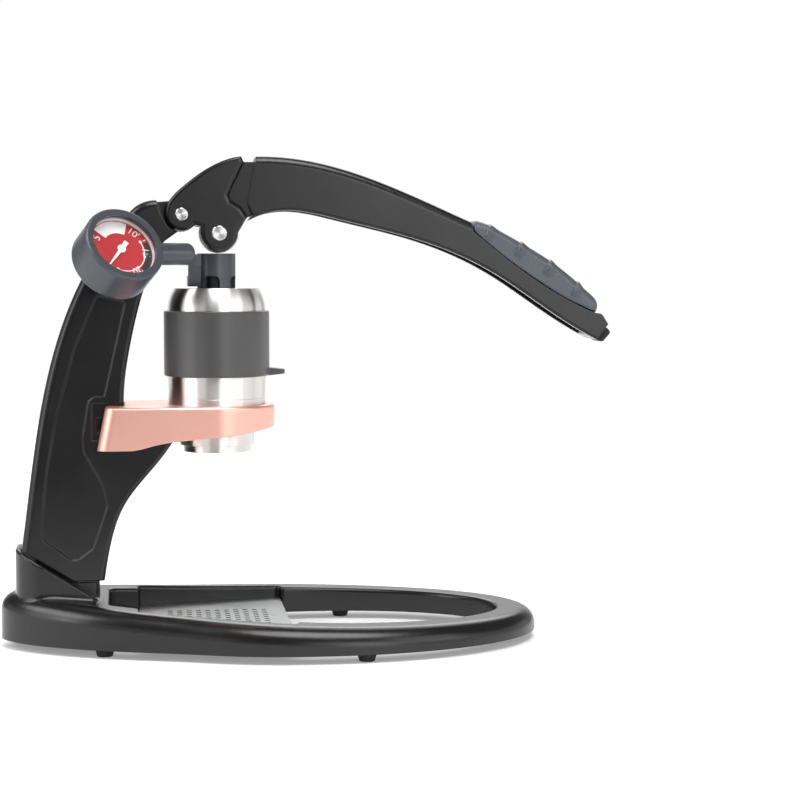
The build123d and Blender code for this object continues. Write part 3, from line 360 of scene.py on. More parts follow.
@dataclass(frozen=True)
class Finish:
    """A plain moulded or painted surface with drifting tone, uneven gloss and fine grain.

    Gloss is the lowest and highest roughness, scales are per metre, relief and edge are metres.
    """

    name: str
    colour: Colour
    gloss: tuple[float, float]
    tone: float = 0.12
    tone_scale: float = 60.0
    grain: float = 2500.0
    relief: float = 0.00003
    edge: float = 0.0004
    metallic: float = 0.0
    sheen: float = 0.0
    specular: float = 0.5
    # Share of the pale highlight painted along the edges.
    edge_highlight: float = 0.0
    glow: float = 0.0

    def material(self) -> bpy.types.Material:
        """Build the material once and give the same one back later.

        Returns:
            The material of this finish.
        """
        made = bpy.data.materials.get(self.name)
        if made is None:
            made = bpy.data.materials.new(self.name)
            made.use_nodes = True
            made.node_tree.nodes.clear()
            bench = NodeBench(made.node_tree)
            shader = self._shader(bench)
            output = bench.add("ShaderNodeOutputMaterial")
            bench.join(shader.outputs["BSDF"], output.inputs["Surface"])
            self.extras(bench, shader, output)
        return made

    def dress(self, piece: bpy.types.Object) -> None:
        """Give every material slot of a piece this finish."""
        piece.data.materials.clear()
        piece.data.materials.append(self.material())

    def height(self, bench: NodeBench) -> bpy.types.NodeSocket:
        """Relief of the surface.

        Args:
            bench: The material's nodes.

        Returns:
            The socket that carries the height.
        """
        return bench.group(GROUPS.grain, Scale=self.grain).outputs["Height"]

    def extras(self, bench: NodeBench, shader: bpy.types.Node, output: bpy.types.Node) -> None:
        """Nothing more on a plain surface."""

    def _shader(self, bench: NodeBench) -> bpy.types.Node:
        """Lay the shared nodes of a finish.

        Args:
            bench: The material's nodes.

        Returns:
            The Principled shader.
        """
        shader = bench.add("ShaderNodeBsdfPrincipled")
        plain = {
            "Metallic": self.metallic,
            "Specular IOR Level": self.specular,
            "Sheen Weight": self.sheen,
            "Emission Color": (*self.colour, 1.0),
            "Emission Strength": self.glow,
            "Base Color": (*self.colour, 1.0),
        }
        for name, value in plain.items():
            shader.inputs[name].default_value = value
        if self.tone:
            bench.join(self._colour(bench), shader.inputs["Base Color"])
        low, high = self.gloss
        gloss = bench.group(GROUPS.gloss, Scale=self.tone_scale / 2, Low=low, High=high)
        bench.join(gloss.outputs["Roughness"], shader.inputs["Roughness"])
        if self.relief:
            bench.join(self._normal(bench), shader.inputs["Normal"])
        return shader

    def _colour(self, bench: NodeBench) -> bpy.types.NodeSocket:
        """Drifting colour, paler along the edges where a highlight is painted.

        Args:
            bench: The material's nodes.

        Returns:
            The colour.
        """
        tone = bench.group(
            GROUPS.tone, Color=(*self.colour, 1.0), Scale=self.tone_scale, Amount=self.tone
        )
        if not self.edge_highlight:
            return tone.outputs["Color"]
        mask = bench.group(GROUPS.edge_highlight, Radius=self.edge, Amount=self.edge_highlight)
        # Paler colour painted on the edges as a highlight.
        highlighted = tuple(min(1.0, HIGHLIGHT_GAIN * part + HIGHLIGHT_LIFT) for part in self.colour)
        return bench.blend(mask.outputs["Mask"], tone.outputs["Color"], highlighted)

    def _normal(self, bench: NodeBench) -> bpy.types.NodeSocket:
        """Fine relief over softened edges.

        Args:
            bench: The material's nodes.

        Returns:
            The normal.
        """
        bump = bench.add("ShaderNodeBump")
        bump.inputs["Strength"].default_value = 1.0
        bump.inputs["Distance"].default_value = self.relief
        bench.join(self.height(bench), bump.inputs["Height"])
        if self.edge:
            soft = bench.add("ShaderNodeBevel", samples=BEVEL_SAMPLES)
            soft.inputs["Radius"].default_value = self.edge
            bench.join(soft.outputs["Normal"], bump.inputs["Normal"])
        return bump.outputs["Normal"]


def across_rings(bench: NodeBench, shader: bpy.types.Node, axis: str, stretch: float) -> None:
    """Stretch a shader's reflections across rings round an axis.

    Args:
        bench: The material's nodes.
        shader: The Principled shader.
        axis: Axis of the rings.
        stretch: How far, from 0 to 1.
    """
    tangent = bench.add("ShaderNodeTangent", direction_type="RADIAL", axis=axis)
    bench.join(tangent.outputs["Tangent"], shader.inputs["Tangent"])
    shader.inputs["Anisotropic"].default_value = stretch
    shader.inputs["Anisotropic Rotation"].default_value = QUARTER_TURN


@dataclass(frozen=True)
class BrushedSteel(Finish):
    """Steel with drawn-out brushing lines."""

    lay: Lay = Lay.ALONG
    stretch: float = 0.97

    def extras(self, bench: NodeBench, shader: bpy.types.Node, output: bpy.types.Node) -> None:
        """Draw the reflections out across lines that run round the piece.

        Args:
            bench: The material's nodes.
            shader: The Principled shader.
            output: The material's output node; not used.
        """
        if self.lay is Lay.ROUND:
            across_rings(bench, shader, "Z", self.stretch)

    def height(self, bench: NodeBench) -> bpy.types.NodeSocket:
        """Brushing lines as the relief.

        Args:
            bench: The material's nodes.

        Returns:
            The socket that carries the height.
        """
        return bench.group(GROUPS.lines, Stretch=self.lay.value).outputs["Height"]


@dataclass(frozen=True)
class TurnedSteel(Finish):
    """Steel with the rings of a lathe round an axis."""

    centre: Triple = (0.0, 0.0, 0.0)
    axis: Triple = (0.0, 1.0, 0.0)
    rings: float = 4000.0
    stretch: float = 0.85

    def extras(self, bench: NodeBench, shader: bpy.types.Node, output: bpy.types.Node) -> None:
        """Draw the reflections out across the rings.

        Args:
            bench: The material's nodes.
            shader: The Principled shader.
            output: The material's output node; not used.
        """
        across_rings(bench, shader, "Y", self.stretch)

    def height(self, bench: NodeBench) -> bpy.types.NodeSocket:
        """Turning rings as the relief.

        Args:
            bench: The material's nodes.

        Returns:
            The socket that carries the height.
        """
        rings = bench.group(GROUPS.turning, Centre=self.centre, Axis=self.axis, Rings=self.rings)
        return rings.outputs["Height"]


@dataclass(frozen=True)
class ClearGlass(Finish):
    """Clear window that lets the light through to the dial behind it."""

    ior: float = 1.2

    def extras(self, bench: NodeBench, shader: bpy.types.Node, output: bpy.types.Node) -> None:
        """Make the surface clear and let shadow rays pass.

        Args:
            bench: The material's nodes.
            shader: The Principled shader.
            output: The material's output node.
        """
        shader.inputs["Transmission Weight"].default_value = 1.0
        shader.inputs["IOR"].default_value = self.ior
        clear = bench.add("ShaderNodeBsdfTransparent")
        path = bench.add("ShaderNodeLightPath")
        mix = bench.add("ShaderNodeMixShader")
        bench.join(path.outputs["Is Shadow Ray"], mix.inputs["Fac"])
        bench.join(shader.outputs["BSDF"], mix.inputs[1])
        bench.join(clear.outputs["BSDF"], mix.inputs[2])
        bench.join(mix.outputs["Shader"], output.inputs["Surface"])


def joint(name: str) -> dict:
    """What the frame says of a joint at rest."""
    return next(row for row in frame["joints"] if row["name"] == name)


def joint_place(name: str) -> Vector:
    """Place of a joint's axis at rest, in metres."""
    return Vector(joint(name)["pos_m"])


# The paint's edges get a pale painted highlight.
PAINT = Finish("satin_black_paint", (0.0048, 0.0049, 0.0057), (0.22, 0.28), relief=0.000003, grain=1800.0,
               edge=0.0009, edge_highlight=0.3)
FOOT_RUBBER = Finish("black_foot_rubber", (0.012, 0.012, 0.013), (0.7, 0.85), relief=0.00005)
SEAL_RUBBER = Finish("black_seal_rubber", (0.02, 0.02, 0.021), (0.5, 0.65))
SCREW_STEEL = Finish("blackened_screw_steel", (0.25, 0.25, 0.26), (0.3, 0.4), metallic=1.0)
BUSH_BRONZE = Finish("bush_bronze", (0.45, 0.28, 0.12), (0.3, 0.4), metallic=1.0)
BRASS = Finish("gauge_brass", (0.62, 0.43, 0.16), (0.25, 0.35), metallic=1.0)
TRAY_STEEL = BrushedSteel("brushed_tray_steel", (0.31, 0.315, 0.32), (0.26, 0.34), tone=0.1, metallic=1.0,
                          relief=0.00001, edge=0.0002, lay=Lay.ALONG)
POLISHED_STEEL = BrushedSteel("polished_cylinder_steel", (0.8, 0.77, 0.75), (0.28, 0.32), tone=0.05,
                              metallic=1.0, relief=0.000001, edge=0.0004, lay=Lay.ROUND)
PIN_STEEL = TurnedSteel("turned_pin_steel", (0.82, 0.82, 0.83), (0.16, 0.22), tone=0.04, metallic=1.0,
                        relief=0.000006, edge=0.0003)
ROSE_METAL = Finish("rose_anodised_metal", (0.92, 0.5, 0.41), (0.3, 0.36), tone=0.16, tone_scale=1500.0,
                    grain=2600.0, relief=0.000001, metallic=0.7, edge=0.0008)
SLATE = Finish("satin_slate_plastic", (0.056, 0.063, 0.075), (0.26, 0.32), relief=0.000002)
GRIP_RUBBER = Finish("slate_grip_rubber", (0.072, 0.081, 0.098), (0.34, 0.42), relief=0.000001,
                     grain=3500.0, edge=0.0)
SLEEVE = Finish("grey_silicone", (0.066, 0.064, 0.066), (0.3, 0.36), sheen=0.08, relief=0.00002)
ROLLER_NYLON = Finish("cream_nylon", (0.72, 0.68, 0.57), (0.4, 0.5))
WHITE_RING = Finish("white_ring_plastic", (0.78, 0.78, 0.78), (0.35, 0.45))
DIAL_RED = Finish("red_dial_paint", (0.33, 0.004, 0.009), (0.45, 0.55), tone=0.06, relief=0.000005)
NEEDLE_WHITE = Finish("needle_white", (0.8, 0.79, 0.75), (0.35, 0.45), relief=0.000005)
PRINT_WHITE = Finish("printed_white", (0.62, 0.61, 0.61), (0.45, 0.55), relief=0.000004, edge=0.0)
PRINT_BLACK = Finish("printed_black", (0.012, 0.012, 0.014), (0.45, 0.55), relief=0.000004, edge=0.0)
WINDOW = ClearGlass("gauge_window", (1.0, 1.0, 1.0), (0.0, 0.02), tone=0.0, relief=0.0, edge=0.0,
                    specular=0.2)


def dress_nodes(finish: Finish, *nodes: str) -> None:
    """Give CAD nodes a finish."""
    for node in nodes:
        finish.dress(frame["nodes"][node])


def deselect() -> None:
    """Leave object mode clean, with nothing selected."""
    bpy.ops.object.select_all(action="DESELECT")


def only(piece: bpy.types.Object) -> None:
    """Select one object and make it the active one.

    Args:
        piece: The object.
    """
    deselect()
    piece.select_set(True)
    bpy.context.view_layer.objects.active = piece


def edit(piece: bpy.types.Object) -> None:
    """Open one object in edit mode with everything selected.

    Args:
        piece: The object.
    """
    only(piece)
    bpy.ops.object.mode_set(mode="EDIT")
    bpy.ops.mesh.select_all(action="SELECT")


def close_edit() -> None:
    """Go back to object mode."""
    bpy.ops.object.mode_set(mode="OBJECT")


def apply_all(piece: bpy.types.Object) -> None:
    """Apply every modifier of a piece.

    Args:
        piece: The object.
    """
    only(piece)
    for name in [modifier.name for modifier in piece.modifiers]:
        bpy.ops.object.modifier_apply(modifier=name)


def settle(piece: bpy.types.Object, name: str, body: str, finish: Finish) -> None:
    """Name a finished piece, let it ride and give it its finish.

    Args:
        piece: The object.
        name: Its name.
        body: The CAD body that it rides on.
        finish: Its finish.
    """
    piece.name = name
    finish.dress(piece)
    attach(piece, body)
    LOG.info("%s: %d faces", name, len(piece.data.polygons))


def copy_node(node: str, merge: float = 0.002 * MM, flat: float = 1.0) -> bpy.types.Object:
    """Copy a CAD node as a clean mesh.

    Args:
        node: Name of the node.
        merge: Gap under which points are joined.
        flat: Angle, in degrees, under which neighbouring faces are one.

    Returns:
        A new object whose doubles are merged and whose flat faces are whole.
    """
    source = frame["nodes"][node]
    piece = bpy.data.objects.new(node + "_copy", source.data.copy())
    bpy.context.scene.collection.objects.link(piece)
    edit(piece)
    bpy.ops.mesh.customdata_custom_splitnormals_clear()
    bpy.ops.mesh.remove_doubles(threshold=merge)
    bpy.ops.mesh.dissolve_limited(angle_limit=radians(flat))
    close_edit()
    return piece


def curve_point(points: Outline, at: float) -> Vector:
    """Point on a smooth curve through given points.

    Args:
        points: The points that the curve runs through.
        at: Place along it, from 0 to 1.

    Returns:
        The point.
    """
    knots = [Vector(point) for point in points]
    knots = [2 * knots[0] - knots[1], *knots, 2 * knots[-1] - knots[-2]]
    place = min(at, CURVE_END) * (len(points) - 1)
    index = int(place)
    t = place - index
    a, b, c, d = knots[index : index + 4]
    return 0.5 * (2 * b + (c - a) * t + (2 * a - 5 * b + 4 * c - d) * t**2 + (3 * b - a - 3 * c + d) * t**3)


@dataclass
class BaseCasting:
    """Painted ring and post with their feet, screws and bush."""

    castings: tuple[str, ...] = ("base_ring", "post")

    def dress(self) -> None:
        """Paint the castings and finish what is set into them."""
        dress_nodes(PAINT, *self.castings)
        dress_nodes(FOOT_RUBBER, "rubber_feet")
        dress_nodes(SCREW_STEEL, "post_screws")
        dress_nodes(BUSH_BRONZE, "pivot_bush")


@dataclass
class DripTray:
    """Perforated sheet over a shallow pan."""

    sheets: tuple[str, ...] = ("drip_pan", "drip_grille")

    def dress(self) -> None:
        """Give both pieces brushed steel."""
        dress_nodes(TRAY_STEEL, *self.sheets)


@dataclass
class LeverGrip:
    """Soft grip with raised half-moon ribs, in millimetres from the lever's pivot."""

    seat: Outline = ((154.7, -8.6), (176.3, -25.7), (202.3, -42.9), (221.5, -52.2))
    crown: Outline = ((155.6, -2.3), (167.5, -7.0), (199.0, -25.4), (224.4, -46.4))
    ribs: Outline = ((166.9, -6.0), (184.0, -14.8), (199.9, -24.4), (214.9, -36.0))
    half: float = 14.7
    seat_gap: float = 0.35
    top_round: float = 5.5
    bottom_round: float = 1.0
    end_round: float = 4.2
    rib_half: float = 3.1
    rib_flank: float = 1.6
    rib_height: float = 1.15
    rib_drop: float = 10.5
    rib_ease: float = 1.5
    rib_fade: float = 0.5
    bottom_share: float = 0.3
    least_height: float = 0.6
    end_taper: float = 0.6
    stations: int = 330
    columns: int = 130
    merge: float = 0.01 * MM
    smooth_angle: float = 50.0

    def build(self) -> None:
        """Roll a grid into the grip's closed body."""
        deselect()
        bpy.ops.mesh.primitive_grid_add(x_subdivisions=self.stations, y_subdivisions=self.columns, size=1.0)
        grip = bpy.context.active_object
        pivot = joint_place("lever_swing")
        for vertex in grip.data.vertices:
            along, round_it = vertex.co.x + 0.5, vertex.co.y + 0.5
            vertex.co = pivot + self._point(along, round_it)
        edit(grip)
        bpy.ops.mesh.remove_doubles(threshold=self.merge)
        bpy.ops.mesh.select_all(action="SELECT")
        bpy.ops.mesh.fill_holes(sides=0)
        bpy.ops.mesh.select_all(action="SELECT")
        bpy.ops.mesh.normals_make_consistent(inside=False)
        close_edit()
        only(grip)
        bpy.ops.object.shade_smooth_by_angle(angle=radians(self.smooth_angle))
        settle(grip, "ribbed_grip", "lever", GRIP_RUBBER)
        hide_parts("grip")

    def _section(self, round_it: float, half: float, height: float) -> tuple[Vector, Vector]:
        """Point of the rounded cross-section and the way out of it.

        Args:
            round_it: Place round the section, from 0 to 1, starting at the middle of its underside.
            half: Half the section's width.
            height: The section's height.

        Returns:
            The point as (across, up) and its outward direction.
        """
        side = 1.0 if round_it < 0.5 else -1.0
        place = (round_it if side > 0 else 1.0 - round_it) * 2.0
        low = min(self.bottom_round, height * self.bottom_share)
        top = min(self.top_round, height - low, half)
        runs = [half - low, low * pi / 2, height - low - top, top * pi / 2, half - top]
        left = place * sum(runs)
        for index, run in enumerate(runs):
            if left <= run or index == len(runs) - 1:
                break
            left -= run
        turn = left / run * pi / 2 if run > 0.0 else 0.0
        if index == 0:
            point, out = (left, 0.0), (0.0, -1.0)
        elif index == 1:
            out = (sin(turn), -cos(turn))
            point = (half - low + low * out[0], low + low * out[1])
        elif index == 2:
            point, out = (half, low + left), (1.0, 0.0)
        elif index == 3:
            out = (cos(turn), sin(turn))
            point = (half - top + top * out[0], height - top + top * out[1])
        else:
            point, out = (half - top - left, height), (0.0, 1.0)
        return Vector((side * point[0], point[1])), Vector((side * out[0], out[1]))

    def _swell(self, spot: Vector) -> float:
        """Height of the nearest rib: steep towards the pivot, easy towards the nose, fading down the side.

        Args:
            spot: Place on the grip, seen from the side.

        Returns:
            The height.
        """
        run = (Vector(self.crown[-1]) - Vector(self.crown[1])).normalized()
        apart = min((spot - Vector(rib) for rib in self.ribs), key=lambda gap: abs(gap.dot(run)))
        offset = apart.dot(run)
        depth = -apart.dot(Vector((-run.y, run.x)))
        steps = (
            (offset + self.rib_half) / self.rib_flank,
            (self.rib_half - offset) / (self.rib_ease * self.rib_half),
            (self.rib_drop - depth) / (self.rib_fade * self.rib_drop),
        )
        height = self.rib_height
        for step in steps:
            share = min(1.0, max(0.0, step))
            height *= share * share * (3.0 - 2.0 * share)
        return height

    def _point(self, along: float, round_it: float) -> Vector:
        """Place of one grid vertex, from the pivot in metres.

        Args:
            along: Place along the grip, from 0 to 1.
            round_it: Place round its section, from 0 to 1.

        Returns:
            The place.
        """
        foot, top = curve_point(self.seat, along), curve_point(self.crown, along)
        length = (curve_point(self.crown, 1.0) - curve_point(self.crown, 0.0)).length
        near = min(along, 1.0 - along) * length
        inset = 0.0
        if near < self.end_round:
            inset = self.end_round - (self.end_round**2 - (self.end_round - near) ** 2) ** 0.5
        up = (top - foot).normalized()
        height = max((top - foot).length - self.seat_gap - inset, self.least_height)
        across, out = self._section(round_it, self.half - inset * self.end_taper, height)
        across = across + out * self._swell(foot + up * (self.seat_gap + across.y))
        spot = foot + up * (self.seat_gap + across.y)
        return Vector((spot.x, across.x, spot.y)) * MM


@dataclass
class Lever:
    """Two-piece lever with its pins, roller, grip and end plug."""

    grip: LeverGrip
    plug_round: float = 1.1 * MM
    plug_segments: int = 3
    plug_angle: float = 40.0

    def build(self) -> None:
        """Model the grip and the rounded end plug."""
        self.grip.build()
        plug = copy_node("end_plug")
        bevel = plug.modifiers.new("rounding", "BEVEL")
        bevel.width = self.plug_round
        bevel.segments = self.plug_segments
        bevel.limit_method = "ANGLE"
        apply_all(plug)
        bpy.ops.object.shade_smooth_by_angle(angle=radians(self.plug_angle))
        settle(plug, "rounded_end_plug", "lever", FOOT_RUBBER)
        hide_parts("end_plug")

    def dress(self) -> None:
        """Finish the lever's CAD nodes."""
        dress_nodes(PAINT, "lever_head", "lever_arm")
        for node, axle in (("pivot_pin", "lever_swing"), ("roller_pin", "roller_spin")):
            dress_nodes(replace(PIN_STEEL, name=node + "_steel", centre=tuple(joint_place(axle))), node)
        dress_nodes(SCREW_STEEL, "lever_stud")
        dress_nodes(ROLLER_NYLON, "roller")


@dataclass
class BrewHead:
    """Portafilter in its holder, brew cylinder and sleeve."""

    steels: tuple[str, ...] = ("portafilter_cup", "filter_basket", "dispersion_screen", "brew_cylinder")

    def dress(self) -> None:
        """Finish the brew head's CAD nodes."""
        dress_nodes(ROSE_METAL, "portafilter_holder")
        dress_nodes(POLISHED_STEEL, *self.steels)
        dress_nodes(SEAL_RUBBER, "cylinder_seal")
        dress_nodes(SLEEVE, "silicone_sleeve")


@dataclass
class GaugeFace:
    """Printing on the gauge's dial, in shares of the window's radius and degrees from three o'clock."""

    radius: float = 17.2 * MM
    film: float = 0.06 * MM
    band: Span = (0.56, 0.97, 64.0, 72.0)
    arc: Span = (0.735, 0.765, -140.0, 160.0)
    shade: Span = (0.78, 0.97, -55.0, 70.0)
    facet: float = 3.0
    tick_radii: tuple[float, float] = (0.86, 0.96)
    tick_sweep: float = 2.0
    ticks: tuple[float, ...] = (225.0, 212.5, 200.0, 187.5, 35.0, 20.0, -70.0, -82.0, -94.0)
    dots: tuple[float, ...] = (20.0, -20.0)
    dot_radius: float = 0.045
    dot_sides: int = 20
    numbers: tuple[tuple[str, float], ...] = (
        ("0", 246.0), ("5", 150.0), ("10", 47.0), ("15", -8.0), ("20", -66.0),
    )
    number_size: float = 0.33
    number_radius: float = 0.79
    number_resolution: int = 4
    place: Matrix = field(init=False, repr=False)

    def build(self) -> None:
        """Print the dial's bands, arcs, ticks, dots and numbers."""
        self._read_place()
        self._sector("dial_white_band", self.band, PRINT_WHITE)
        self._sector("dial_white_arc", self.arc, PRINT_WHITE)
        self._sector("dial_black_band", self.shade, PRINT_BLACK)
        for index, bearing in enumerate(self.dots):
            self._dot(f"dial_dot_{index + 1}", bearing)
        for index, bearing in enumerate(self.ticks):
            span = (*self.tick_radii, bearing - self.tick_sweep / 2, self.tick_sweep)
            self._sector(f"dial_tick_{index + 1}", span, PRINT_WHITE)
        for word, bearing in self.numbers:
            self._number(word, bearing)

    def _read_place(self) -> None:
        """Work out the dial's frame from the needle's joint and the dial's mesh."""
        centre = joint_place("needle_swing")
        normal = -Vector(joint("needle_swing")["axis"]).normalized()
        right = Vector((0, 0, 1)).cross(normal).normalized()
        up = normal.cross(right)
        dial = frame["nodes"]["gauge_dial"].data
        front = max((vertex.co - centre).dot(normal) for vertex in dial.vertices)
        self.place = Matrix((right, up, normal)).transposed().to_4x4()
        self.place.translation = centre + normal * front

    def _lay(self, piece: bpy.types.Object, name: str, finish: Finish) -> None:
        """Give a flat print its thickness and put it on the dial.

        Args:
            piece: The flat mesh, drawn round the origin.
            name: Its name.
            finish: Its ink.
        """
        solid = piece.modifiers.new("film", "SOLIDIFY")
        solid.thickness = self.film
        solid.offset = 1.0
        apply_all(piece)
        piece.data.transform(self.place)
        settle(piece, name, "plunger", finish)

    def _sector(self, name: str, span: Span, finish: Finish) -> None:
        """Print one band of a ring.

        Args:
            name: Name of the piece.
            span: Inner and outer radius, first bearing and sweep.
            finish: Its ink.
        """
        inner, outer, start, sweep = span
        deselect()
        bpy.ops.mesh.primitive_plane_add(size=1.0)
        piece = bpy.context.active_object
        steps = max(2, int(abs(sweep) / self.facet))
        step = radians(sweep / (steps + 1))
        begin = radians(start)
        far = [vertex.index for vertex in piece.data.vertices if vertex.co.y > 0]
        for vertex in piece.data.vertices:
            radius = self.radius * (inner if vertex.co.x < 0 else outer)
            turn = begin + (step if vertex.index in far else 0.0)
            vertex.co = Vector((radius * cos(turn), radius * sin(turn), 0.0))
        bpy.ops.object.mode_set(mode="EDIT")
        bpy.ops.mesh.select_mode(type="VERT")
        bpy.ops.mesh.select_all(action="DESELECT")
        close_edit()
        for index in far:
            piece.data.vertices[index].select = True
        bpy.ops.object.mode_set(mode="EDIT")
        bpy.ops.mesh.spin(steps=steps, angle=-step * steps, center=(0, 0, 0), axis=(0, 0, 1))
        bpy.ops.mesh.select_all(action="SELECT")
        bpy.ops.mesh.remove_doubles(threshold=MERGE_GAP)
        close_edit()
        self._face_up(piece)
        self._lay(piece, name, finish)

    @staticmethod
    def _face_up(piece: bpy.types.Object) -> None:
        """Turn every face of a flat print towards the reader.

        Args:
            piece: The flat mesh, drawn round the origin.
        """
        edit(piece)
        bpy.ops.mesh.normals_make_consistent(inside=False)
        close_edit()
        if piece.data.polygons[0].normal.z < 0:
            edit(piece)
            bpy.ops.mesh.flip_normals()
            close_edit()

    def _dot(self, name: str, bearing: float) -> None:
        """Print a round dot on the thin arc.

        Args:
            name: Name of the piece.
            bearing: Its bearing.
        """
        deselect()
        place = self.radius * (self.arc[0] + self.arc[1]) / 2
        turn = radians(bearing)
        bpy.ops.mesh.primitive_circle_add(
            vertices=self.dot_sides, radius=self.radius * self.dot_radius, fill_type="NGON",
            location=(place * cos(turn), place * sin(turn), self.film),
        )
        piece = bpy.context.active_object
        bpy.ops.object.transform_apply(location=True)
        self._face_up(piece)
        self._lay(piece, name, PRINT_WHITE)

    def _number(self, word: str, bearing: float) -> None:
        """Print one number.

        Args:
            word: Its digits.
            bearing: Its bearing.
        """
        deselect()
        bpy.ops.object.text_add()
        piece = bpy.context.active_object
        piece.data.body = word
        piece.data.size = self.radius * self.number_size
        piece.data.align_x = "CENTER"
        piece.data.align_y = "CENTER"
        piece.data.resolution_u = self.number_resolution
        bpy.ops.object.convert(target="MESH")
        piece = bpy.context.active_object
        turn = radians(bearing)
        spin = Matrix.Rotation(turn - pi / 2, 4, "Z")
        spin.translation = Vector((cos(turn), sin(turn), 0.0)) * self.radius * self.number_radius
        piece.data.transform(spin)
        edit(piece)
        bpy.ops.mesh.remove_doubles(threshold=MERGE_GAP)
        close_edit()
        self._face_up(piece)
        self._lay(piece, "dial_number_" + word, PRINT_WHITE)


@dataclass
class Plunger:
    """Stem, piston and the pressure gauge on its arm."""

    face: GaugeFace
    mouldings: tuple[str, ...] = ("stem", "piston", "gauge_case", "gauge_back")
    works: tuple[str, ...] = ("gauge_movement", "bourdon_tube", "gauge_fitting")

    def build(self) -> None:
        """Print the gauge's dial."""
        self.face.build()

    def dress(self) -> None:
        """Finish the plunger's CAD nodes."""
        dress_nodes(SLATE, *self.mouldings)
        dress_nodes(SEAL_RUBBER, "piston_seals")
        dress_nodes(SCREW_STEEL, "piston_screw")
        dress_nodes(WINDOW, "gauge_lens")
        dress_nodes(WHITE_RING, "gauge_inner_ring")
        dress_nodes(DIAL_RED, "gauge_dial")
        dress_nodes(BRASS, *self.works)
        dress_nodes(NEEDLE_WHITE, "needle")


@dataclass(frozen=True)
class Softbox:
    """A large area light aimed at one place."""

    name: str
    place: Triple
    aim: Triple
    size: tuple[float, float]
    power: float

    def hang(self) -> None:
        """Add the light to the scene."""
        light = bpy.data.lights.new(self.name, "AREA")
        light.shape = "RECTANGLE"
        light.size, light.size_y = self.size
        light.energy = self.power
        lamp = bpy.data.objects.new(self.name, light)
        lamp.location = self.place
        lamp.rotation_euler = (Vector(self.aim) - Vector(self.place)).to_track_quat("-Z", "Y").to_euler()
        bpy.context.scene.collection.objects.link(lamp)


@dataclass(frozen=True)
class Glow:
    """Round bright patch of the surround, in degrees from straight ahead and above the floor."""

    bearing: float
    rise: float
    half: float
    level: float
    soft: float = 5.0

    def way(self) -> Triple:
        """Direction of the patch's middle.

        Returns:
            A vector of length 1.
        """
        flat = cos(radians(self.rise))
        turn = radians(self.bearing)
        return (flat * sin(turn), -flat * cos(turn), sin(radians(self.rise)))

    def ends(self) -> tuple[float, float]:
        """Cosines between which the patch grows from nothing to its full level.

        Returns:
            The outer and the inner cosine.
        """
        return cos(radians(self.half + self.soft)), cos(radians(self.half - self.soft))


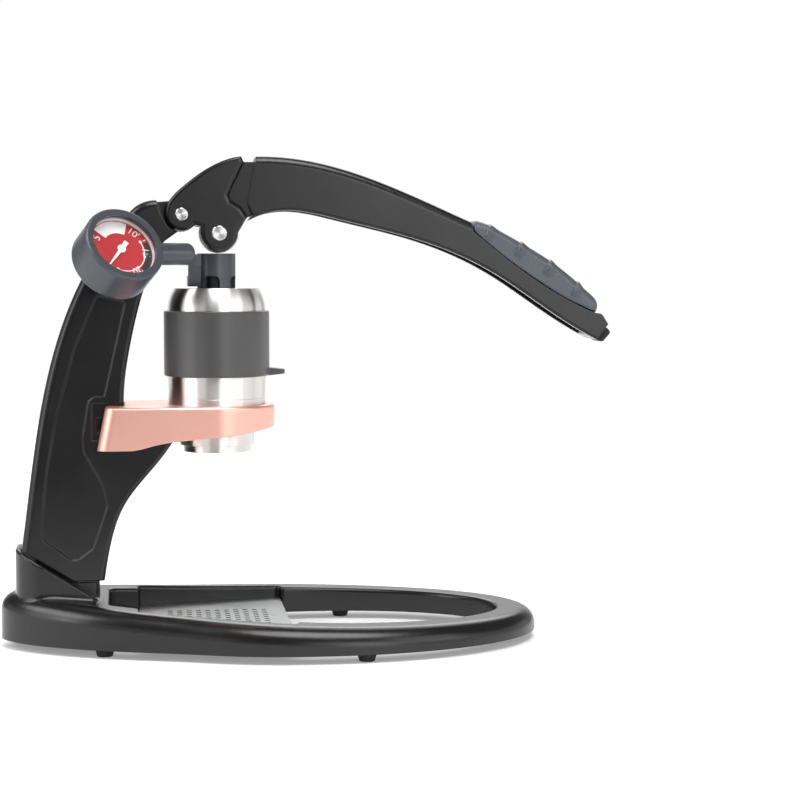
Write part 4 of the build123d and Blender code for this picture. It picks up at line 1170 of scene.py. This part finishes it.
@dataclass
class Studio:
    """Pale floor, soft lights, surround and camera."""

    floor_size: tuple[float, float] = (2.6, 1.9)
    floor_middle: tuple[float, float] = (0.1, 0.58)
    floor_colour: Colour = (0.8, 0.8, 0.8)
    floor_glow: float = 0.3
    camera_place: Triple = (-0.0934, -1.0689, 0.2012)
    camera_turn: Triple = (86.14, 0.0, -7.606)
    lens: float = 90.0
    backdrop: float = 1.0
    middle: float = 0.16
    middle_from: tuple[float, float] = (0.2, 0.4)
    glows: tuple[Glow, ...] = (
        Glow(10.0, 66.0, 18.0, 7.0), Glow(-78.0, 42.0, 15.0, 5.0), Glow(175.0, 42.0, 20.0, 2.2),
        Glow(17.0, 9.0, 12.0, 3.4), Glow(-72.0, 12.0, 13.0, 2.4), Glow(66.0, 12.0, 13.0, 1.1),
    )
    bands: Outline = (
        (-180, 0.78), (-156, 0.85), (-152, 0.22), (-124, 0.22), (-120, 0.8), (-30, 0.7), (-26, 0.12),
        (2, 0.1), (5, 0.6), (25, 0.65), (28, 0.9), (60, 0.9), (62, 0.35), (65, 0.9), (128, 0.9), (132, 0.4),
        (150, 0.4), (154, 0.85), (180, 0.78),
    )
    boxes: tuple[Softbox, ...] = (
        Softbox("right_box", (1.1, -1.1, 0.75), (0.0, 0.0, 0.15), (0.9, 0.9), 4.5),
        Softbox("left_box", (-1.2, -0.7, 0.6), (0.0, 0.0, 0.15), (0.25, 1.0), 3.0),
        Softbox("rear_box", (0.1, 1.3, 0.9), (0.0, 0.0, 0.15), (1.4, 0.6), 4.5),
    )

    def build(self) -> None:
        """Lay the floor, hang the lights and stand the camera."""
        self._floor()
        self._surround()
        for box in self.boxes:
            box.hang()
        self._camera()
        scene = bpy.context.scene
        scene.view_settings.view_transform = "Standard"
        scene.view_settings.look = "None"

    def _floor(self) -> None:
        """Lay the pale floor."""
        deselect()
        bpy.ops.mesh.primitive_plane_add(size=1.0, location=(*self.floor_middle, 0.0))
        bpy.ops.transform.resize(value=(*self.floor_size, 1.0))
        bpy.ops.object.transform_apply()
        floor = bpy.context.active_object
        floor.name = "pale_floor"
        Finish("pale_floor_paper", self.floor_colour, (0.8, 0.9), tone=0.01, relief=0.0, edge=0.0,
               specular=0.1, glow=self.floor_glow).dress(floor)

    def _surround(self) -> None:
        """Light the scene from all round, with darker upright bands for the bright metal to mirror."""
        world = bpy.data.worlds.new("studio_surround")
        bpy.context.scene.world = world
        world.use_nodes = True
        world.node_tree.nodes.clear()
        bench = NodeBench(world.node_tree)
        way = bench.add("ShaderNodeTexCoord").outputs["Generated"]
        parts = bench.add("ShaderNodeSeparateXYZ")
        bench.join(way, parts.inputs[0])
        rise = self._rise(bench, parts.outputs["Z"], self.middle_from)
        sky = bench.blend(rise, self._upright_bands(bench, parts), (self.middle,) * 3)
        for glow in self.glows:
            near = bench.vector("DOT_PRODUCT", way, glow.way()).outputs["Value"]
            sky = bench.blend(self._rise(bench, near, glow.ends()), sky, (glow.level,) * 3)
        lit = bench.add("ShaderNodeBackground")
        bench.join(sky, lit.inputs["Color"])
        seen = bench.add("ShaderNodeBackground")
        seen.inputs["Color"].default_value = (self.backdrop,) * 3 + (1.0,)
        path = bench.add("ShaderNodeLightPath")
        mix = bench.add("ShaderNodeMixShader")
        bench.join(path.outputs["Is Camera Ray"], mix.inputs["Fac"])
        bench.join(lit.outputs[0], mix.inputs[1])
        bench.join(seen.outputs[0], mix.inputs[2])
        output = bench.add("ShaderNodeOutputWorld")
        bench.join(mix.outputs[0], output.inputs["Surface"])

    def _upright_bands(self, bench: NodeBench, parts: bpy.types.Node) -> bpy.types.NodeSocket:
        """Grey levels by bearing from straight ahead.

        Args:
            bench: The world's nodes.
            parts: The direction of sight, split into X, Y and Z.

        Returns:
            The level, as a colour.
        """
        ahead = bench.maths("MULTIPLY", parts.outputs["Y"], -1.0)
        bearing = bench.maths("ARCTAN2", parts.outputs["X"], ahead)
        share = bench.maths("ADD", bench.maths("DIVIDE", bearing, tau), 0.5)
        ramp = bench.add("ShaderNodeValToRGB")
        bench.join(share, ramp.inputs["Fac"])
        # A new ramp has two stops: the first is used, and one too many is taken from the end.
        stops = ramp.color_ramp.elements
        for index, (degrees, level) in enumerate(self.bands):
            spot = (degrees + 180.0) / 360.0
            stop = stops[index] if index < 1 else stops.new(spot)
            stop.position = spot
            stop.color = (level, level, level, 1.0)
        stops.remove(stops[-1])
        return ramp.outputs["Color"]

    @staticmethod
    def _rise(
        bench: NodeBench, value: bpy.types.NodeSocket, ends: tuple[float, float]
    ) -> bpy.types.NodeSocket:
        """Smooth rise from 0 to 1 between two values.

        Args:
            bench: The world's nodes.
            value: The value that rises.
            ends: Where the rise starts and ends.

        Returns:
            The rise.
        """
        rise = bench.add("ShaderNodeMapRange", interpolation_type="SMOOTHSTEP")
        rise.inputs["From Min"].default_value, rise.inputs["From Max"].default_value = ends
        bench.join(value, rise.inputs["Value"])
        return rise.outputs["Result"]

    def _camera(self) -> None:
        """Stand the camera where the photograph was taken."""
        camera = bpy.data.objects.new("camera", bpy.data.cameras.new("camera"))
        camera.data.lens = self.lens
        camera.location = self.camera_place
        camera.rotation_euler = [radians(turn) for turn in self.camera_turn]
        bpy.context.scene.collection.objects.link(camera)
        bpy.context.scene.camera = camera


def main() -> None:
    """Build and dress the espresso maker."""
    logging.basicConfig(level=logging.INFO, format="%(message)s")
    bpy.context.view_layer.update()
    lever = Lever(LeverGrip())
    plunger = Plunger(GaugeFace())
    for group in (BaseCasting(), DripTray(), lever, BrewHead(), plunger):
        group.dress()
        LOG.info("%s dressed", type(group).__name__)
    lever.build()
    plunger.build()
    Studio().build()


if __name__ == "__main__":
    main()
